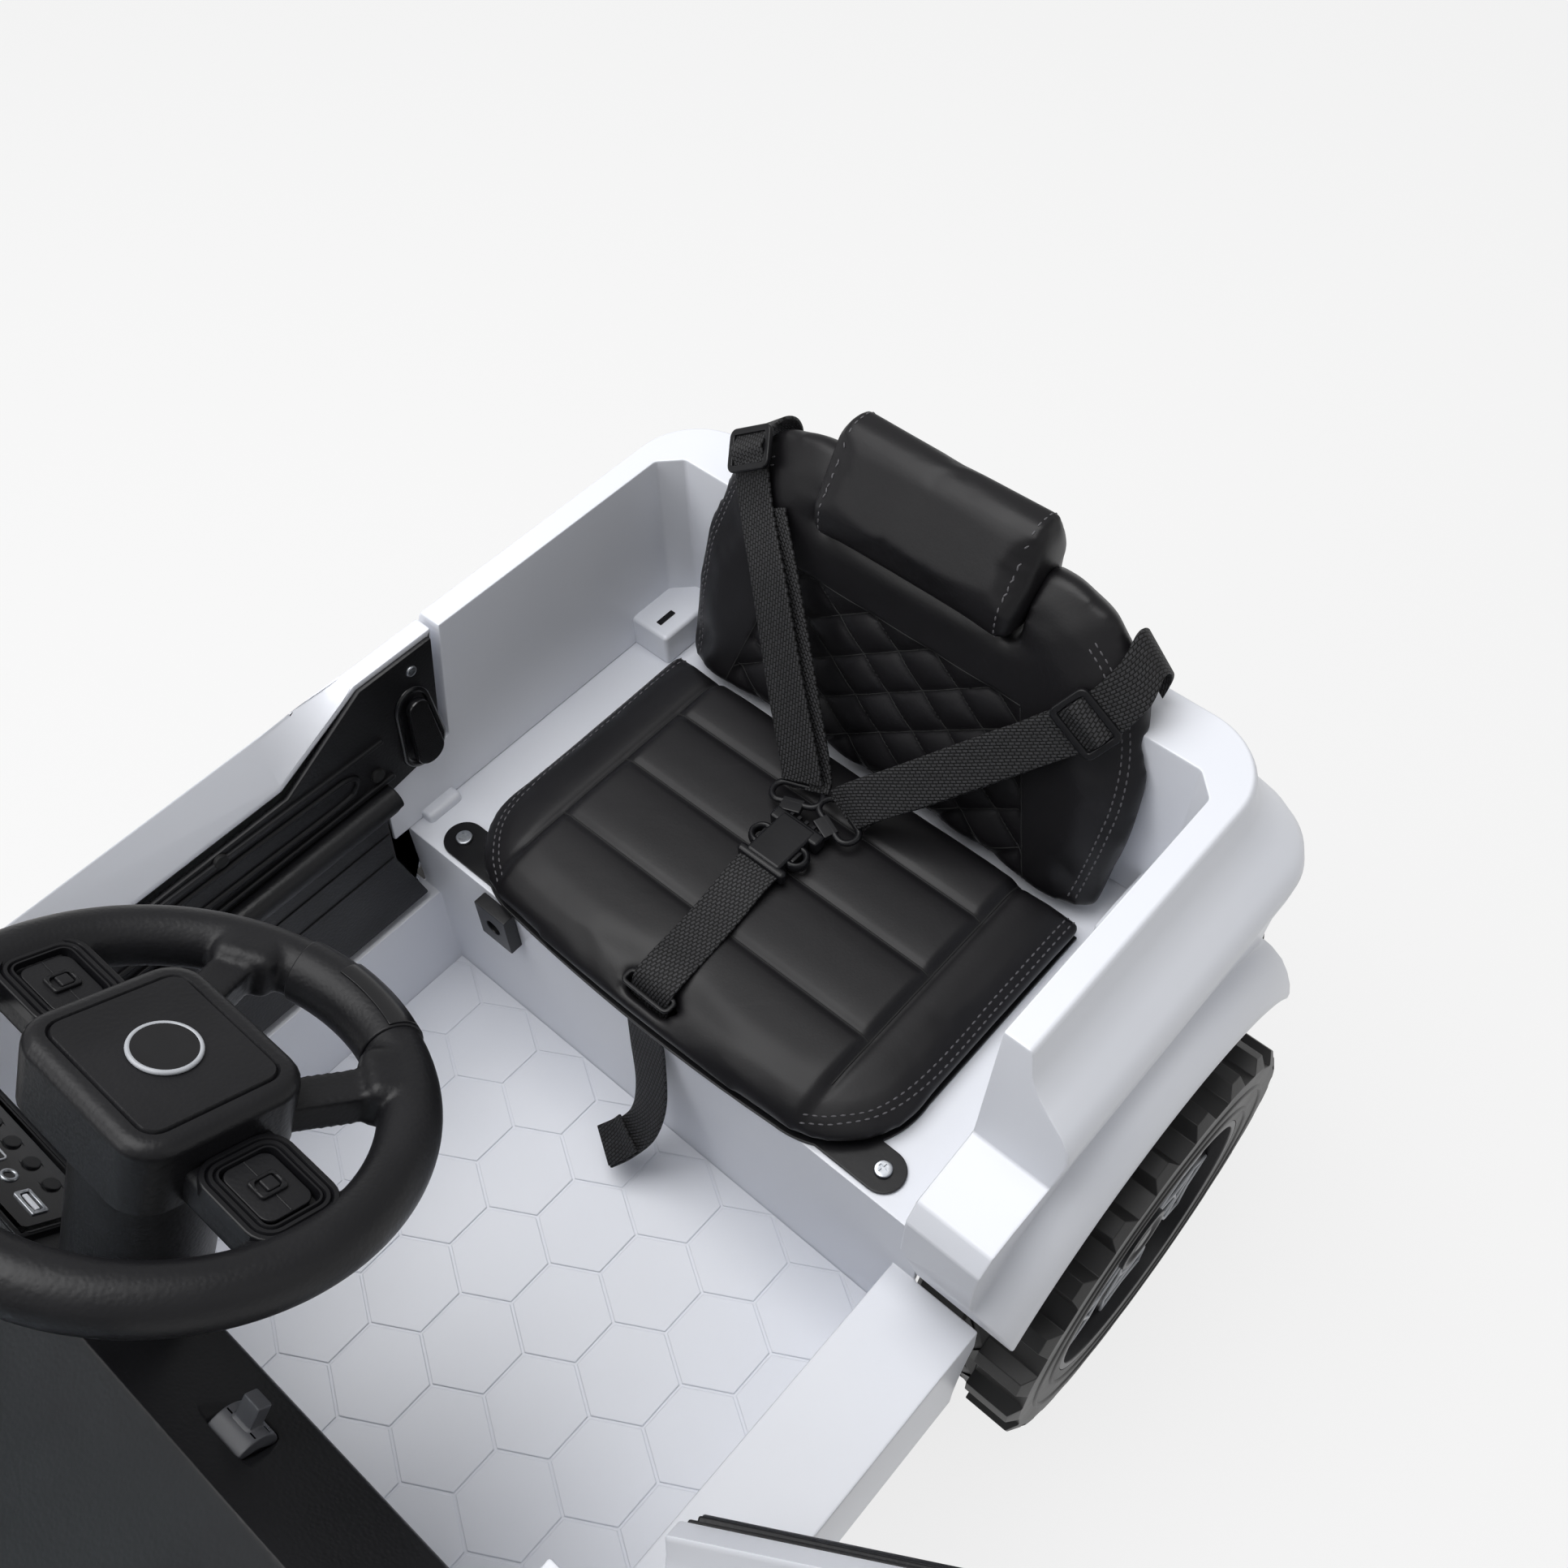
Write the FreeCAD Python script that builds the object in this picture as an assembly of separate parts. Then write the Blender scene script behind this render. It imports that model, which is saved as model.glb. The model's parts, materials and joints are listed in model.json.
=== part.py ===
import FreeCAD, Part
import math
import os
from FreeCAD import Vector

# Frame: X to the car's left, Y to the rear, Z up; origin on the ground under mid-wheelbase. Millimetres.

# Stance
wheelbase = 620.0
wheel_track = 476.0
wheel_radius = 140.0
wheel_width = 84.0

# Clearances and shared walls
overrun = 20.0
wall = 3.5
fit_gap = 0.3
run_gap = 0.05
panel_gap = 4.0

# Levels above the ground
floor_top = 150.0
sill_top = 230.0
seat_box_top = 290.0
shoulder_base = 366.0
rail_rise = 61.0
hood_rise = 49.0
body_bottom = 172.0

# Widths and lengths of the body
body_half_width = 250.0
rail_half_width = 214.0
cabin_half_width = 198.0
sill_inner = 187.0
sill_outer = 246.0
rear_overhang = 163.0
front_overhang = 235.0
rail_setback = 16.0
corner_radius = 44.0
cabin_tail = 110.0
cabin_chamfer = 13.0
jamb_lead = 150.0
jamb_depth = 70.0
a_pillar_offset = 244.0
cowl_offset = 70.0
seat_box_lead = 138.0

# Shares of the shoulder rise and the rail inset: the waist, the bulging shoulder, the hollow above it, the rail
waist_shares = [(-0.95, 0.17), (-0.5, 0.13), (-0.2, 0.035), (0.0, 0.0)]
rail_shares = [(0.14, 0.055), (0.27, 0.21), (0.41, 0.47), (0.56, 0.71), (0.72, 0.86), (0.94, 0.945), (1.0, 1.0)]
shoulder_shares = waist_shares + rail_shares
# Shares of the jamb depth and of the height from sill to rail, from the rail down
jamb_shares = [(1.0, 1.0), (0.81, 0.56), (0.17, 0.525), (0.04, 0.47), (0.0, 0.29), (0.2, 0.0)]

# Wheel arches and flares
rear_arch_gap = 32.0
front_arch_gap = 38.0
flare_reach = 18.0
flare_band = 29.0
# Shares of the flare's reach and band, from its lip up to the crease in the side
flare_shares = [(1.0, 0.0), (1.0, 0.17), (0.9, 0.36), (0.66, 0.6), (0.34, 0.81), (-0.1, 0.95), (-0.5, 1.0)]
flare_rear_drop = 40.0
well_gap = 14.0

# Tub
tunnel_half_width = 128.0
kick_offset = 190.0
toe_offset = 90.0
toe_lean = 42.0
toe_rise = 180.0
box_half_width = 188.0
box_flange = 202.0
box_tail = 148.0
tray_level = 188.0
hanger_x = 40.0
hanger_width = 8.0
hanger_length = 40.0
rail_x = 96.0
rail_width = 12.0
rail_height = 50.0
column_hole_radius = 13.0

# Front panels
hood_half_width = 186.0
hood_crown = 13.0
hood_length = 222.0
hood_edge = 5.0
hood_back_offset = 50.0
grille_half_width = 142.0
grille_bottom = 238.0
grille_top_gap = 27.0
grille_depth = 11.0
grille_frame = 14.0
grille_bars = 4
grille_bar_height = 12.0
bumper_half_width = 236.0
bumper_height = 84.0
bumper_depth = 34.0
bumper_top = 232.0
bumper_wall = 5.0
bumper_corner = 40.0
lamp_width = 78.0
lamp_height = 56.0
lamp_depth = 9.0
lamp_drop = 38.0
tail_lamp_width = 44.0
tail_lamp_top_gap = 10.0
tail_lamp_rise = 52.0
tailgate_half_width = 148.0
tailgate_groove = 3.0

# Windscreen
screen_base_half = 176.0
screen_top_half = 150.0
screen_rise = 185.0
screen_lean = 70.0
screen_bar = 16.0
screen_thickness = 12.0
pane_thickness = 3.0

# Dashboard and radio
dash_face_offset = 215.0
dash_drop = 23.0
dash_lip_rise = 23.0
dash_slope = 39.0
dash_crest_rise = 61.0
dash_tail_rise = 25.0
shroud_radius = 30.0
shroud_foot_rise = 9.0
radio_x = -82.0
radio_half_length = 46.0
radio_depth = 44.0
radio_margin = 4.0
radio_plate = 3.0
key_radius = 4.0
key_pitch = 15.0
key_count = 4
key_row_share = 0.72
key_travel = 1.0
key_strip = 2.0
selector_x = 86.0
selector_radius = 11.0
selector_width = 20.0
selector_handle = 16.0
selector_pin_radius = 2.5
selector_depth_share = 0.5

# Steering wheel
steer_offset = 8.0
steer_rise = 68.0
steer_tilt = 27.8
rim_radius = 95.0
rim_tube = 13.0
hub_half_width = 43.0
hub_half_length = 38.0
hub_rise = 25.0
hub_drop = 14.0
hub_bevel = 9.0
spoke_half_width = 19.0
spoke_thickness = 15.0
leg_width = 17.0
leg_spread = 0.55
leg_start_share = 0.6
pad_inner = 50.0
pad_outer = 80.0
pad_half_width = 14.0
pad_thickness = 4.0
pad_travel = 2.0
pad_recess = 2.5

# Steering linkage
column_radius = 8.0
column_foot_rise = 14.3
crank_radius = 24.0
crank_thickness = 6.0
crank_half_width = 8.0
crank_pin_radius = 3.5
crank_pin_length = 16.0
slot_play = 0.9
slot_reach = 7.0
link_thickness = 5.0
link_margin = 6.0
link_drop = 9.0
kingpin_x = 168.0
kingpin_radius = 5.0
boss_radius = 11.0
beam_width = 20.0
beam_height = 24.0
arm_length = 45.0
arm_half_width = 7.0
fork_thickness = 6.0
fork_web = 6.0
fork_reach = 16.0
fork_half_width = 12.0
tie_radius = 4.0
arm_pin_radius = 3.0
spindle_radius = 5.0
spindle_collar = 9.0

# Wheels
tread_depth = 8.0
lug_count = 22
lug_share = 0.58
tyre_bead_radius = 92.0
shoulder_chamfer = 7.0
centre_rib = 16.0
tyre_sidewall = 7.0
tyre_tread_wall = 6.0
hub_disc = 8.0
hub_recess = 16.0
hub_rim = 5.0
hub_tube_radius = 14.0
hub_spokes = 6
hub_window_radius = 17.0
hub_window_share = 0.56
nut_radius = 8.0
axle_end_gap = 10.0

# Gear motors
gear_module = 1.25
gear_teeth = 60
pinion_teeth = 12
gear_width = 12.0
pinion_extra = 2.0
tooth_tip_share = 0.36
tooth_root_share = 0.5
tooth_depth_share = 0.85
gearbox_wall = 3.0
gearbox_gap = 4.0
gearbox_x = 148.0
gear_sleeve_radius = 12.0
motor_radius = 18.0
motor_length = 57.0
motor_shaft_radius = 2.0

# Battery, control box and charge socket
battery_width = 150.0
battery_length = 65.0
battery_height = 93.0
battery_offset = 28.0
control_width = 90.0
control_length = 60.0
control_height = 28.0
control_offset = 150.0
socket_x = -118.0
socket_width = 26.0
socket_height = 34.0
socket_depth = 9.0
socket_bore_radius = 5.5
socket_bore_depth = 7.0
socket_drop = 4.0

# Seat
seat_half_width = 165.0
seat_front_lead = 150.0
seat_front_half = 106.0
seat_corner_length = 74.0
seat_rear_offset = 64.0
seat_base_thickness = 2.5
seat_ear_radius = 13.0
seat_screw_lead = 122.0
seat_screw_radius = 3.5
seat_screw_height = 2.0
cushion_height = 24.0
cushion_draw = 5.0
cushion_crown_inset = 34.0
channel_width = 5.0
channel_depth = 4.0
channel_half_length = 119.0
# Shares of the cushion height and of the drawn-in and crown insets, from the base up
cushion_shares = [(0.0, 1.0, 0.0), (0.3, 0.0, 0.0), (0.58, 0.0, 0.09), (0.85, 0.0, 0.5), (1.0, 0.0, 1.0)]
# Places of the sewn channels, as shares of the cushion length from its front
channel_shares = [0.335, 0.585, 0.805]
strap_slot_x = 5.5
strap_slot_lead = 134.0
strap_slot_length = 36.0
strap_slot_width = 8.0

# Backrest and headrest
back_lean = 14.0
back_height = 194.0
back_thickness = 34.0
back_draw = 8.0
back_crown_inset = 30.0
back_lift = 13.0
# Shares of the half width and the height of the backrest, from the foot up
back_shares = [(0.98, 0.0), (1.01, 0.26), (1.0, 0.47), (0.93, 0.69), (0.85, 0.83), (0.71, 0.945), (0.55, 0.99)]
# Shares of the thickness and of the drawn-in and crown insets, from the back to the front
back_level_shares = [(0.0, 1.0, 0.0), (0.45, 0.0, 0.0), (0.66, 0.0, 0.06), (0.88, 0.0, 0.5), (1.0, 0.0, 1.0)]
quilt_top_share = 0.53
quilt_bottom_share = 0.04
quilt_half_width = 116.0
quilt_top_half_width = 84.0
quilt_pitch = 34.0
quilt_groove_width = 3.5
quilt_groove_depth = 2.6
quilt_slope = 0.72
headrest_half_width = 69.0
headrest_height = 62.0
headrest_depth = 58.0
headrest_notch = 146.0
headrest_gap = 0.4
headrest_draw = 5.0
# Shares of the headrest depth and height, from its lower front corner round its side
headrest_shares = [(0.0, 0.0), (0.02, 0.3), (0.46, 0.93), (0.58, 1.0), (0.84, 0.97), (1.0, 0.62), (0.96, -0.2)]

# Harness webbing and hardware
web_width = 28.0
web_thickness = 1.8
slider_frame = 5.0
slider_thickness = 4.0
slider_length = 34.0
buckle_width = 36.0
buckle_length = 40.0
buckle_thickness = 13.0
tongue_width = 32.0
tongue_length = 16.0
tongue_frame = 4.0
tongue_bar = 4.0

# Doors
door_bottom_gap = 6.0
door_open_angle = 60.0
hinge_x = 240.0
hinge_lead = 8.0
hinge_radius = 6.0
hinge_peg_radius = 3.0
hinge_ear = 6.0
hinge_knuckle = 20.0
hinge_level_shares = [0.12, 0.5]
door_front_gap = 12.0
door_top_drop = 30.0
door_hollow_drop_share = 0.36
door_lip_inner = 200.0
trim_thickness = 3.5
trim_margin = 3.0
trim_rear_share = 0.80
trim_slope_share = 0.58
apron_depth = 8.0
apron_wall = 2.5
roll_radius = 8.5
roll_inset = 5.0
roll_level_share = 0.52
roll_rear_share = 0.79
handle_length = 50.0
handle_height = 13.0
handle_depth = 8.0
handle_place_share = 0.62
latch_offset = 112.0
latch_drop = 76.0
latch_length = 37.0
latch_radius = 10.0
latch_tip_radius = 7.0
latch_thickness = 5.0
latch_pin_radius = 4.0

# Pedal
pedal_x = -62.0
pedal_width = 58.0
pedal_length = 82.0
pedal_thickness = 7.0
pedal_tilt = 42.0
pedal_hinge_offset = 158.0
pedal_hinge_height = 9.0
pedal_pin_radius = 3.0
pedal_pin_length = 5.0
pedal_ear = 4.0
pedal_ear_radius = 7.0

# Places worked out from the sizes above
rail_top = shoulder_base + rail_rise
hood_line = shoulder_base + hood_rise
lamp_bottom = shoulder_base - lamp_drop
tail_lamp_bottom = bumper_top + tail_lamp_rise
tail_lamp_height = shoulder_base - tail_lamp_top_gap - tail_lamp_bottom
grille_height = hood_line - grille_top_gap - grille_bottom
dash_bottom = hood_line - dash_drop
dash_lip = hood_line + dash_lip_rise
dash_crest = hood_line + dash_crest_rise
dash_tail = hood_line + dash_tail_rise
steer_height = dash_crest + steer_rise
latch_level = rail_top - latch_drop
rear_y = wheelbase / 2
front_y = -wheelbase / 2
axle_z = wheel_radius
beam_top = axle_z + beam_height / 2 - kingpin_radius / 2
link_level = beam_top - link_drop
wheel_x = wheel_track / 2
wheel_in = wheel_x - wheel_width / 2
wheel_out = wheel_x + wheel_width / 2
rear_end = rear_y + rear_overhang
front_end = front_y - front_overhang
a_pillar = front_y + a_pillar_offset
jamb_foot = rear_y - jamb_lead
cabin_rear = rear_y + cabin_tail
cowl = front_y + cowl_offset
box_front = rear_y - seat_box_lead
box_rear = rear_y + box_tail
kick_y = front_y + kick_offset
toe_y = front_y + toe_offset
rear_arch = wheel_radius + rear_arch_gap
front_arch = wheel_radius + front_arch_gap
tilt = math.radians(steer_tilt)
steer_centre = Vector(0, a_pillar + steer_offset, steer_height)
axis_up = Vector(0, math.sin(tilt), math.cos(tilt))
axis_rear = Vector(0, math.cos(tilt), -math.sin(tilt))
column_length = (steer_height - link_level - column_foot_rise) / math.cos(tilt)
column_end = steer_centre - axis_up * column_length
X_AXIS = Vector(1, 0, 0)
Y_AXIS = Vector(0, 1, 0)
Z_AXIS = Vector(0, 0, 1)
ORIGIN = Vector(0, 0, 0)


def box(x0, x1, y0, y1, z0, z1):
    return Part.makeBox(x1 - x0, y1 - y0, z1 - z0, Vector(x0, y0, z0))


def face_of(points):
    return Part.Face(Part.makePolygon(points + [points[0]]))


def prism_x(points, x0, x1):
    return face_of([Vector(x0, y, z) for y, z in points]).extrude(X_AXIS * (x1 - x0))


def prism_y(points, y0, y1):
    return face_of([Vector(x, y0, z) for x, z in points]).extrude(Y_AXIS * (y1 - y0))


def prism_z(points, z0, z1):
    return face_of([Vector(x, y, z0) for x, y in points]).extrude(Z_AXIS * (z1 - z0))


def rod(start, end, radius):
    return Part.makeCylinder(radius, (end - start).Length, start, end - start)


def tube(start, end, outer, inner):
    return rod(start, end, outer).cut(rod(start, end, inner))


def fused(shapes):
    body = shapes[0]
    if len(shapes) > 1:
        body = body.multiFuse(shapes[1:])
    return body.removeSplitter()


def mirrored(shape):
    return shape.mirror(ORIGIN, X_AXIS)


def both(shape):
    return [shape, mirrored(shape)]


def loft(wires):
    return Part.makeLoft(wires, True, True)


def polygon_wire(points):
    return Part.makePolygon(points + [points[0]])


def moved(shape, place):
    copy = shape.copy()
    copy.translate(place)
    return copy


def tilted(shape):
    """Turns a shape made about the column axis at the origin into the car."""
    copy = shape.copy()
    copy.rotate(ORIGIN, X_AXIS, -steer_tilt)
    copy.translate(steer_centre)
    return copy


def revolved_x(points, centre_y, centre_z, start_angle, sweep):
    """Turns an outline of (x, radius) points about a crosswise axis, from straight ahead upwards."""
    face = face_of([Vector(x, -r, 0) for x, r in points])
    face.rotate(ORIGIN, X_AXIS, -start_angle)
    body = face.revolve(ORIGIN, X_AXIS, -sweep)
    body.translate(Vector(0, centre_y, centre_z))
    return body


def plan_wire(half_width, flat_y, round_y, radius, z):
    """A body outline seen from above, with its two far corners rounded."""
    way = math.copysign(1, round_y - flat_y)
    diagonal = radius * (1 - math.sqrt(2) / 2)
    start = round_y - way * radius
    left_arc = Part.Arc(Vector(half_width, start, z),
                        Vector(half_width - diagonal, round_y - way * diagonal, z),
                        Vector(half_width - radius, round_y, z))
    right_arc = Part.Arc(Vector(radius - half_width, round_y, z),
                         Vector(diagonal - half_width, round_y - way * diagonal, z),
                         Vector(-half_width, start, z))
    edges = [Part.LineSegment(Vector(-half_width, flat_y, z), Vector(half_width, flat_y, z)),
             Part.LineSegment(Vector(half_width, flat_y, z), Vector(half_width, start, z)),
             left_arc,
             Part.LineSegment(Vector(half_width - radius, round_y, z), Vector(radius - half_width, round_y, z)),
             right_arc,
             Part.LineSegment(Vector(-half_width, start, z), Vector(-half_width, flat_y, z))]
    return Part.Wire([edge.toShape() for edge in edges])


def body_block(flat_y, round_y, top, inset):
    """The body's outer form, or its hollow when inset by the wall."""
    way = math.copysign(1, round_y - flat_y)
    waist_share = shoulder_shares[0][1]
    waist = waist_share * (body_half_width - rail_half_width) + inset
    waist_y = round_y - way * (waist_share * rail_setback + inset)
    wires = [plan_wire(body_half_width - waist, flat_y, waist_y, corner_radius - inset,
                       body_bottom - (overrun if inset else 0))]
    for rise_share, inset_share in shoulder_shares:
        half = body_half_width - inset_share * (body_half_width - rail_half_width) - inset
        far = round_y - way * (inset_share * rail_setback + inset)
        z = shoulder_base + rise_share * (top - shoulder_base)
        z = min(z, top - inset - (1 - rise_share) * wall) if inset else z
        wires.append(plan_wire(half, flat_y, far, corner_radius - inset, z))
    return loft(wires)


def jamb_line(shift):
    """The door jamb seen from the side, from the rail down to the sill."""
    return [(jamb_foot + y_share * jamb_depth + shift, sill_top + z_share * (rail_top - sill_top))
            for y_share, z_share in jamb_shares]


def behind_jamb(shift):
    line = jamb_line(shift)
    top = (line[0][0], rail_top + overrun)
    bottom = (line[-1][0], body_bottom - 2 * overrun)
    far = rear_end + overrun
    outline = [top] + line + [bottom, (far, bottom[1]), (far, top[1])]
    return prism_x(outline, -body_half_width - overrun, body_half_width + overrun)


def recess(grow, y_front, bottom):
    """The open cabin between the side walls, behind the seat."""
    half = cabin_half_width + grow
    back = cabin_rear + grow
    outline = [(-half, y_front), (half, y_front), (half, back - cabin_chamfer), (half - cabin_chamfer, back),
               (cabin_chamfer - half, back), (-half, back - cabin_chamfer)]
    return prism_z(outline, bottom, rail_top + overrun)


def flare(centre_y, radius, start_angle, sweep):
    """The raised lip round a wheel arch on the left side."""
    outline = [(body_half_width + reach_share * flare_reach, radius + band_share * flare_band)
               for reach_share, band_share in flare_shares]
    outline.append((outline[-1][0], radius))
    return revolved_x(outline, centre_y, axle_z, start_angle, sweep)


def wheel_well(centre_y, radius, inner_x):
    start = Vector(inner_x, centre_y, axle_z)
    end = Vector(wheel_out + overrun, centre_y, axle_z)
    return both(rod(start, end, radius))


def floor_tub():
    below = floor_top - wall
    parts = [box(-sill_inner - wall, sill_inner + wall, kick_y - wall, box_front + wall, below, floor_top),
             box(-tunnel_half_width - wall, tunnel_half_width + wall, toe_y - wall, kick_y, below, floor_top)]
    toe_top_y = toe_y - toe_lean
    toe_top = floor_top + toe_rise
    side = [(kick_y, below), (toe_y, below), (toe_top_y, toe_top), (kick_y, toe_top)]
    board = [(toe_y, below), (toe_top_y, toe_top), (toe_top_y - wall, toe_top), (toe_y - wall, below)]
    parts.append(prism_x(board, -tunnel_half_width - wall, tunnel_half_width + wall))
    kick_top = shoulder_base - wall
    for shape in (prism_x(side, tunnel_half_width, tunnel_half_width + wall),
                  box(tunnel_half_width, cabin_half_width - fit_gap, kick_y - wall, kick_y, below, kick_top),
                  box(sill_inner, sill_inner + wall, kick_y - wall, box_front + wall, below, sill_top),
                  box(sill_inner, sill_outer, a_pillar + panel_gap, box_front, sill_top - wall, sill_top),
                  box(sill_outer - wall, sill_outer, a_pillar + panel_gap, box_front, below, sill_top),
                  box(rail_x, rail_x + rail_width, front_y - beam_width, toe_y,
                      beam_top, beam_top + rail_height),
                  box(box_half_width, box_half_width + wall, box_front, box_rear, tray_level, seat_box_top),
                  box(hanger_x, hanger_x + hanger_width, rear_y - hanger_length / 2,
                      rear_y + hanger_length / 2, axle_z - hanger_length / 2, tray_level)):
        parts.extend(both(shape))
    half = box_half_width + wall
    parts.append(box(-half, half, box_front, box_front + wall, below, seat_box_top))
    parts.append(box(-box_flange, box_flange, box_front, box_front + wall, sill_top - wall, seat_box_top))
    parts.append(box(-half, half, box_rear - wall, box_rear, tray_level, seat_box_top))
    parts.append(box(-box_flange, box_flange, box_front, box_rear, seat_box_top - wall, seat_box_top))
    parts.append(box(-half, half, box_front, box_rear, tray_level, tray_level + wall))
    hinge = pedal_hinge()
    ear_x = pedal_width / 2 + fit_gap
    for side_x in (pedal_x - ear_x - pedal_ear, pedal_x + ear_x):
        ear = rod(Vector(side_x, hinge.y, hinge.z), Vector(side_x + pedal_ear, hinge.y, hinge.z), pedal_ear_radius)
        foot = box(side_x, side_x + pedal_ear, hinge.y - pedal_ear_radius, hinge.y + pedal_ear_radius,
                   below, hinge.z)
        parts.extend([ear, foot])
    tub = fused(parts)
    for well in wheel_well(rear_y, wheel_radius + well_gap, box_flange):
        tub = tub.cut(well)
    reach = pedal_width / 2 + pedal_ear + overrun
    tub = tub.cut(rod(Vector(pedal_x - reach, hinge.y, hinge.z), Vector(pedal_x + reach, hinge.y, hinge.z),
                      pedal_pin_radius + run_gap))
    tub = tub.cut(rod(Vector(-rail_x, rear_y, axle_z), Vector(rail_x, rear_y, axle_z), spindle_radius))
    tub = tub.cut(rod(column_end, steer_centre, column_hole_radius))
    return tub


def pedal_hinge():
    return Vector(pedal_x, front_y + pedal_hinge_offset, floor_top + pedal_hinge_height)


def rear_body():
    flat = jamb_foot - overrun
    outer = body_block(flat, rear_end, rail_top, 0).common(behind_jamb(0))
    hollow = body_block(flat, rear_end, rail_top, wall).common(behind_jamb(wall))
    hollow = hollow.cut(recess(wall, flat - overrun, seat_box_top))
    shell = outer.cut(hollow).cut(recess(0, flat - overrun, seat_box_top))
    under = box_flange + fit_gap
    shell = shell.cut(box(-under, under, flat - overrun, rear_end - 2 * wall, 0, seat_box_top))
    for well in wheel_well(rear_y, rear_arch, box_flange):
        shell = shell.cut(well)
    front_angle = math.degrees(math.asin((sill_top + fit_gap - axle_z) / rear_arch))
    rear_angle = math.degrees(math.asin(flare_rear_drop / rear_arch))
    lip = flare(rear_y, rear_arch, front_angle, 180 - front_angle - rear_angle)
    flare_end = rear_end - corner_radius + corner_radius / 3
    lip = lip.cut(box(0, 2 * body_half_width, flare_end, rear_end + rear_arch, 0, rail_top)).common(behind_jamb(0))
    shell = fused([shell] + both(lip))
    half = tailgate_half_width
    low = tail_lamp_bottom
    high = tail_lamp_bottom + tail_lamp_height
    gate = box(-half, half, rear_end - tailgate_groove / 2, rear_end + overrun, low, high)
    inner = box(tailgate_groove - half, half - tailgate_groove, rear_end - overrun, rear_end + 2 * overrun,
                low + tailgate_groove, high - tailgate_groove)
    return shell.cut(gate.cut(inner))


def hinge_place():
    return Vector(hinge_x, a_pillar + hinge_lead, 0)


def hinge_levels():
    return [sill_top + share * (rail_top - sill_top) for share in hinge_level_shares]


def front_body():
    outer = body_block(a_pillar, front_end, hood_line, 0)
    hollow = body_block(a_pillar - wall, front_end, hood_line, wall)
    bottom = body_bottom - 2 * overrun
    half = cabin_half_width
    top = hood_line + overrun
    walls = box(-half - wall, half + wall, cowl - wall, a_pillar + overrun, bottom, top)
    opening = box(-half, half, cowl, a_pillar + overrun, bottom, top)
    shell = outer.cut(hollow.cut(walls)).cut(opening)
    below = min(sill_top, beam_top + rail_height + wall)
    shell = shell.cut(box(-half, half, cowl - overrun, a_pillar, bottom, below))
    tunnel = tunnel_half_width + wall + fit_gap
    shell = shell.cut(box(-tunnel, tunnel, cowl - overrun, cowl, bottom, floor_top + toe_rise + fit_gap))
    for well in wheel_well(front_y, front_arch, tunnel_half_width):
        shell = shell.cut(well)
    angle = math.degrees(math.asin((body_bottom + wall - axle_z) / front_arch))
    shell = fused([shell] + both(flare(front_y, front_arch, angle, 180 - 2 * angle)))
    place = hinge_place()
    ears = []
    for level in hinge_levels():
        low = place + Z_AXIS * (level - fit_gap - hinge_ear)
        high = place + Z_AXIS * (level - fit_gap)
        ear = rod(low, high, hinge_radius)
        arm = box(hinge_x - hinge_radius, hinge_x + hinge_radius, a_pillar - wall, place.y, low.z, high.z)
        ears.append(ear.fuse(arm).cut(rod(low, high, hinge_peg_radius + run_gap)))
    return fused([shell] + ears + [mirrored(ear) for ear in ears])


def hood_panel():
    back = cowl - hood_back_offset
    front = back - hood_length

    def arch(y, half, low, crown):
        curve = Part.Arc(Vector(-half, y, low), Vector(0, y, low + crown), Vector(half, y, low)).toShape()
        return curve, Part.LineSegment(Vector(half, y, low), Vector(-half, y, low)).toShape()

    def rim(y, half):
        z0 = hood_line
        z1 = hood_line + hood_edge
        curve, line = arch(y, half, z1, hood_crown)
        sides = [Part.LineSegment(Vector(half, y, z1), Vector(half, y, z0)).toShape(),
                 Part.LineSegment(Vector(half, y, z0), Vector(-half, y, z0)).toShape(),
                 Part.LineSegment(Vector(-half, y, z0), Vector(-half, y, z1)).toShape()]
        return Part.Wire([curve] + sides)

    def under(y, half):
        return Part.Wire(list(arch(y, half, hood_line, hood_crown)))

    outer = loft([rim(front, hood_half_width), rim(back, hood_half_width)])
    cavity = loft([under(front + wall, hood_half_width - wall), under(back - wall, hood_half_width - wall)])
    return outer.cut(cavity)


def grille():
    y0 = front_end - grille_depth
    y1 = front_end
    half = grille_half_width
    top = grille_bottom + grille_height
    frame = box(-half, half, y0, y1, grille_bottom, top)
    inner = half - grille_frame
    low = grille_bottom + grille_frame
    high = top - grille_frame
    frame = frame.cut(box(-inner, inner, y0 - overrun, y1 - wall, low, high))
    step = (high - low) / grille_bars
    bars = []
    for index in range(grille_bars):
        middle = low + (index + 1 / 2) * step
        bars.append(box(-inner, inner, y0 + wall, y1, middle - grille_bar_height / 2,
                        middle + grille_bar_height / 2))
    return fused([frame] + bars)


def bumper(round_y, flat_y, level):
    """A hollow bumper across the car with rounded far corners."""
    way = math.copysign(1, round_y - flat_y)
    outer = [plan_wire(bumper_half_width, flat_y, round_y, bumper_corner, z) for z in (level, level + bumper_height)]
    inside = bumper_half_width - bumper_wall
    inner = [plan_wire(inside, flat_y - way * overrun, round_y - way * bumper_wall, bumper_corner - bumper_wall, z)
             for z in (level + bumper_wall, level + bumper_height - bumper_wall)]
    return loft(outer).cut(loft(inner))


def bumper_level():
    return bumper_top - bumper_height


def front_bumper():
    shape = bumper(front_end - bumper_depth, front_end + bumper_corner, bumper_level())
    gap = fit_gap
    block = [plan_wire(body_half_width + gap, a_pillar, front_end - gap, corner_radius, z)
             for z in (body_bottom - gap, rail_top)]
    keep_out = loft(block)
    return shape.cut(keep_out)


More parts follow.
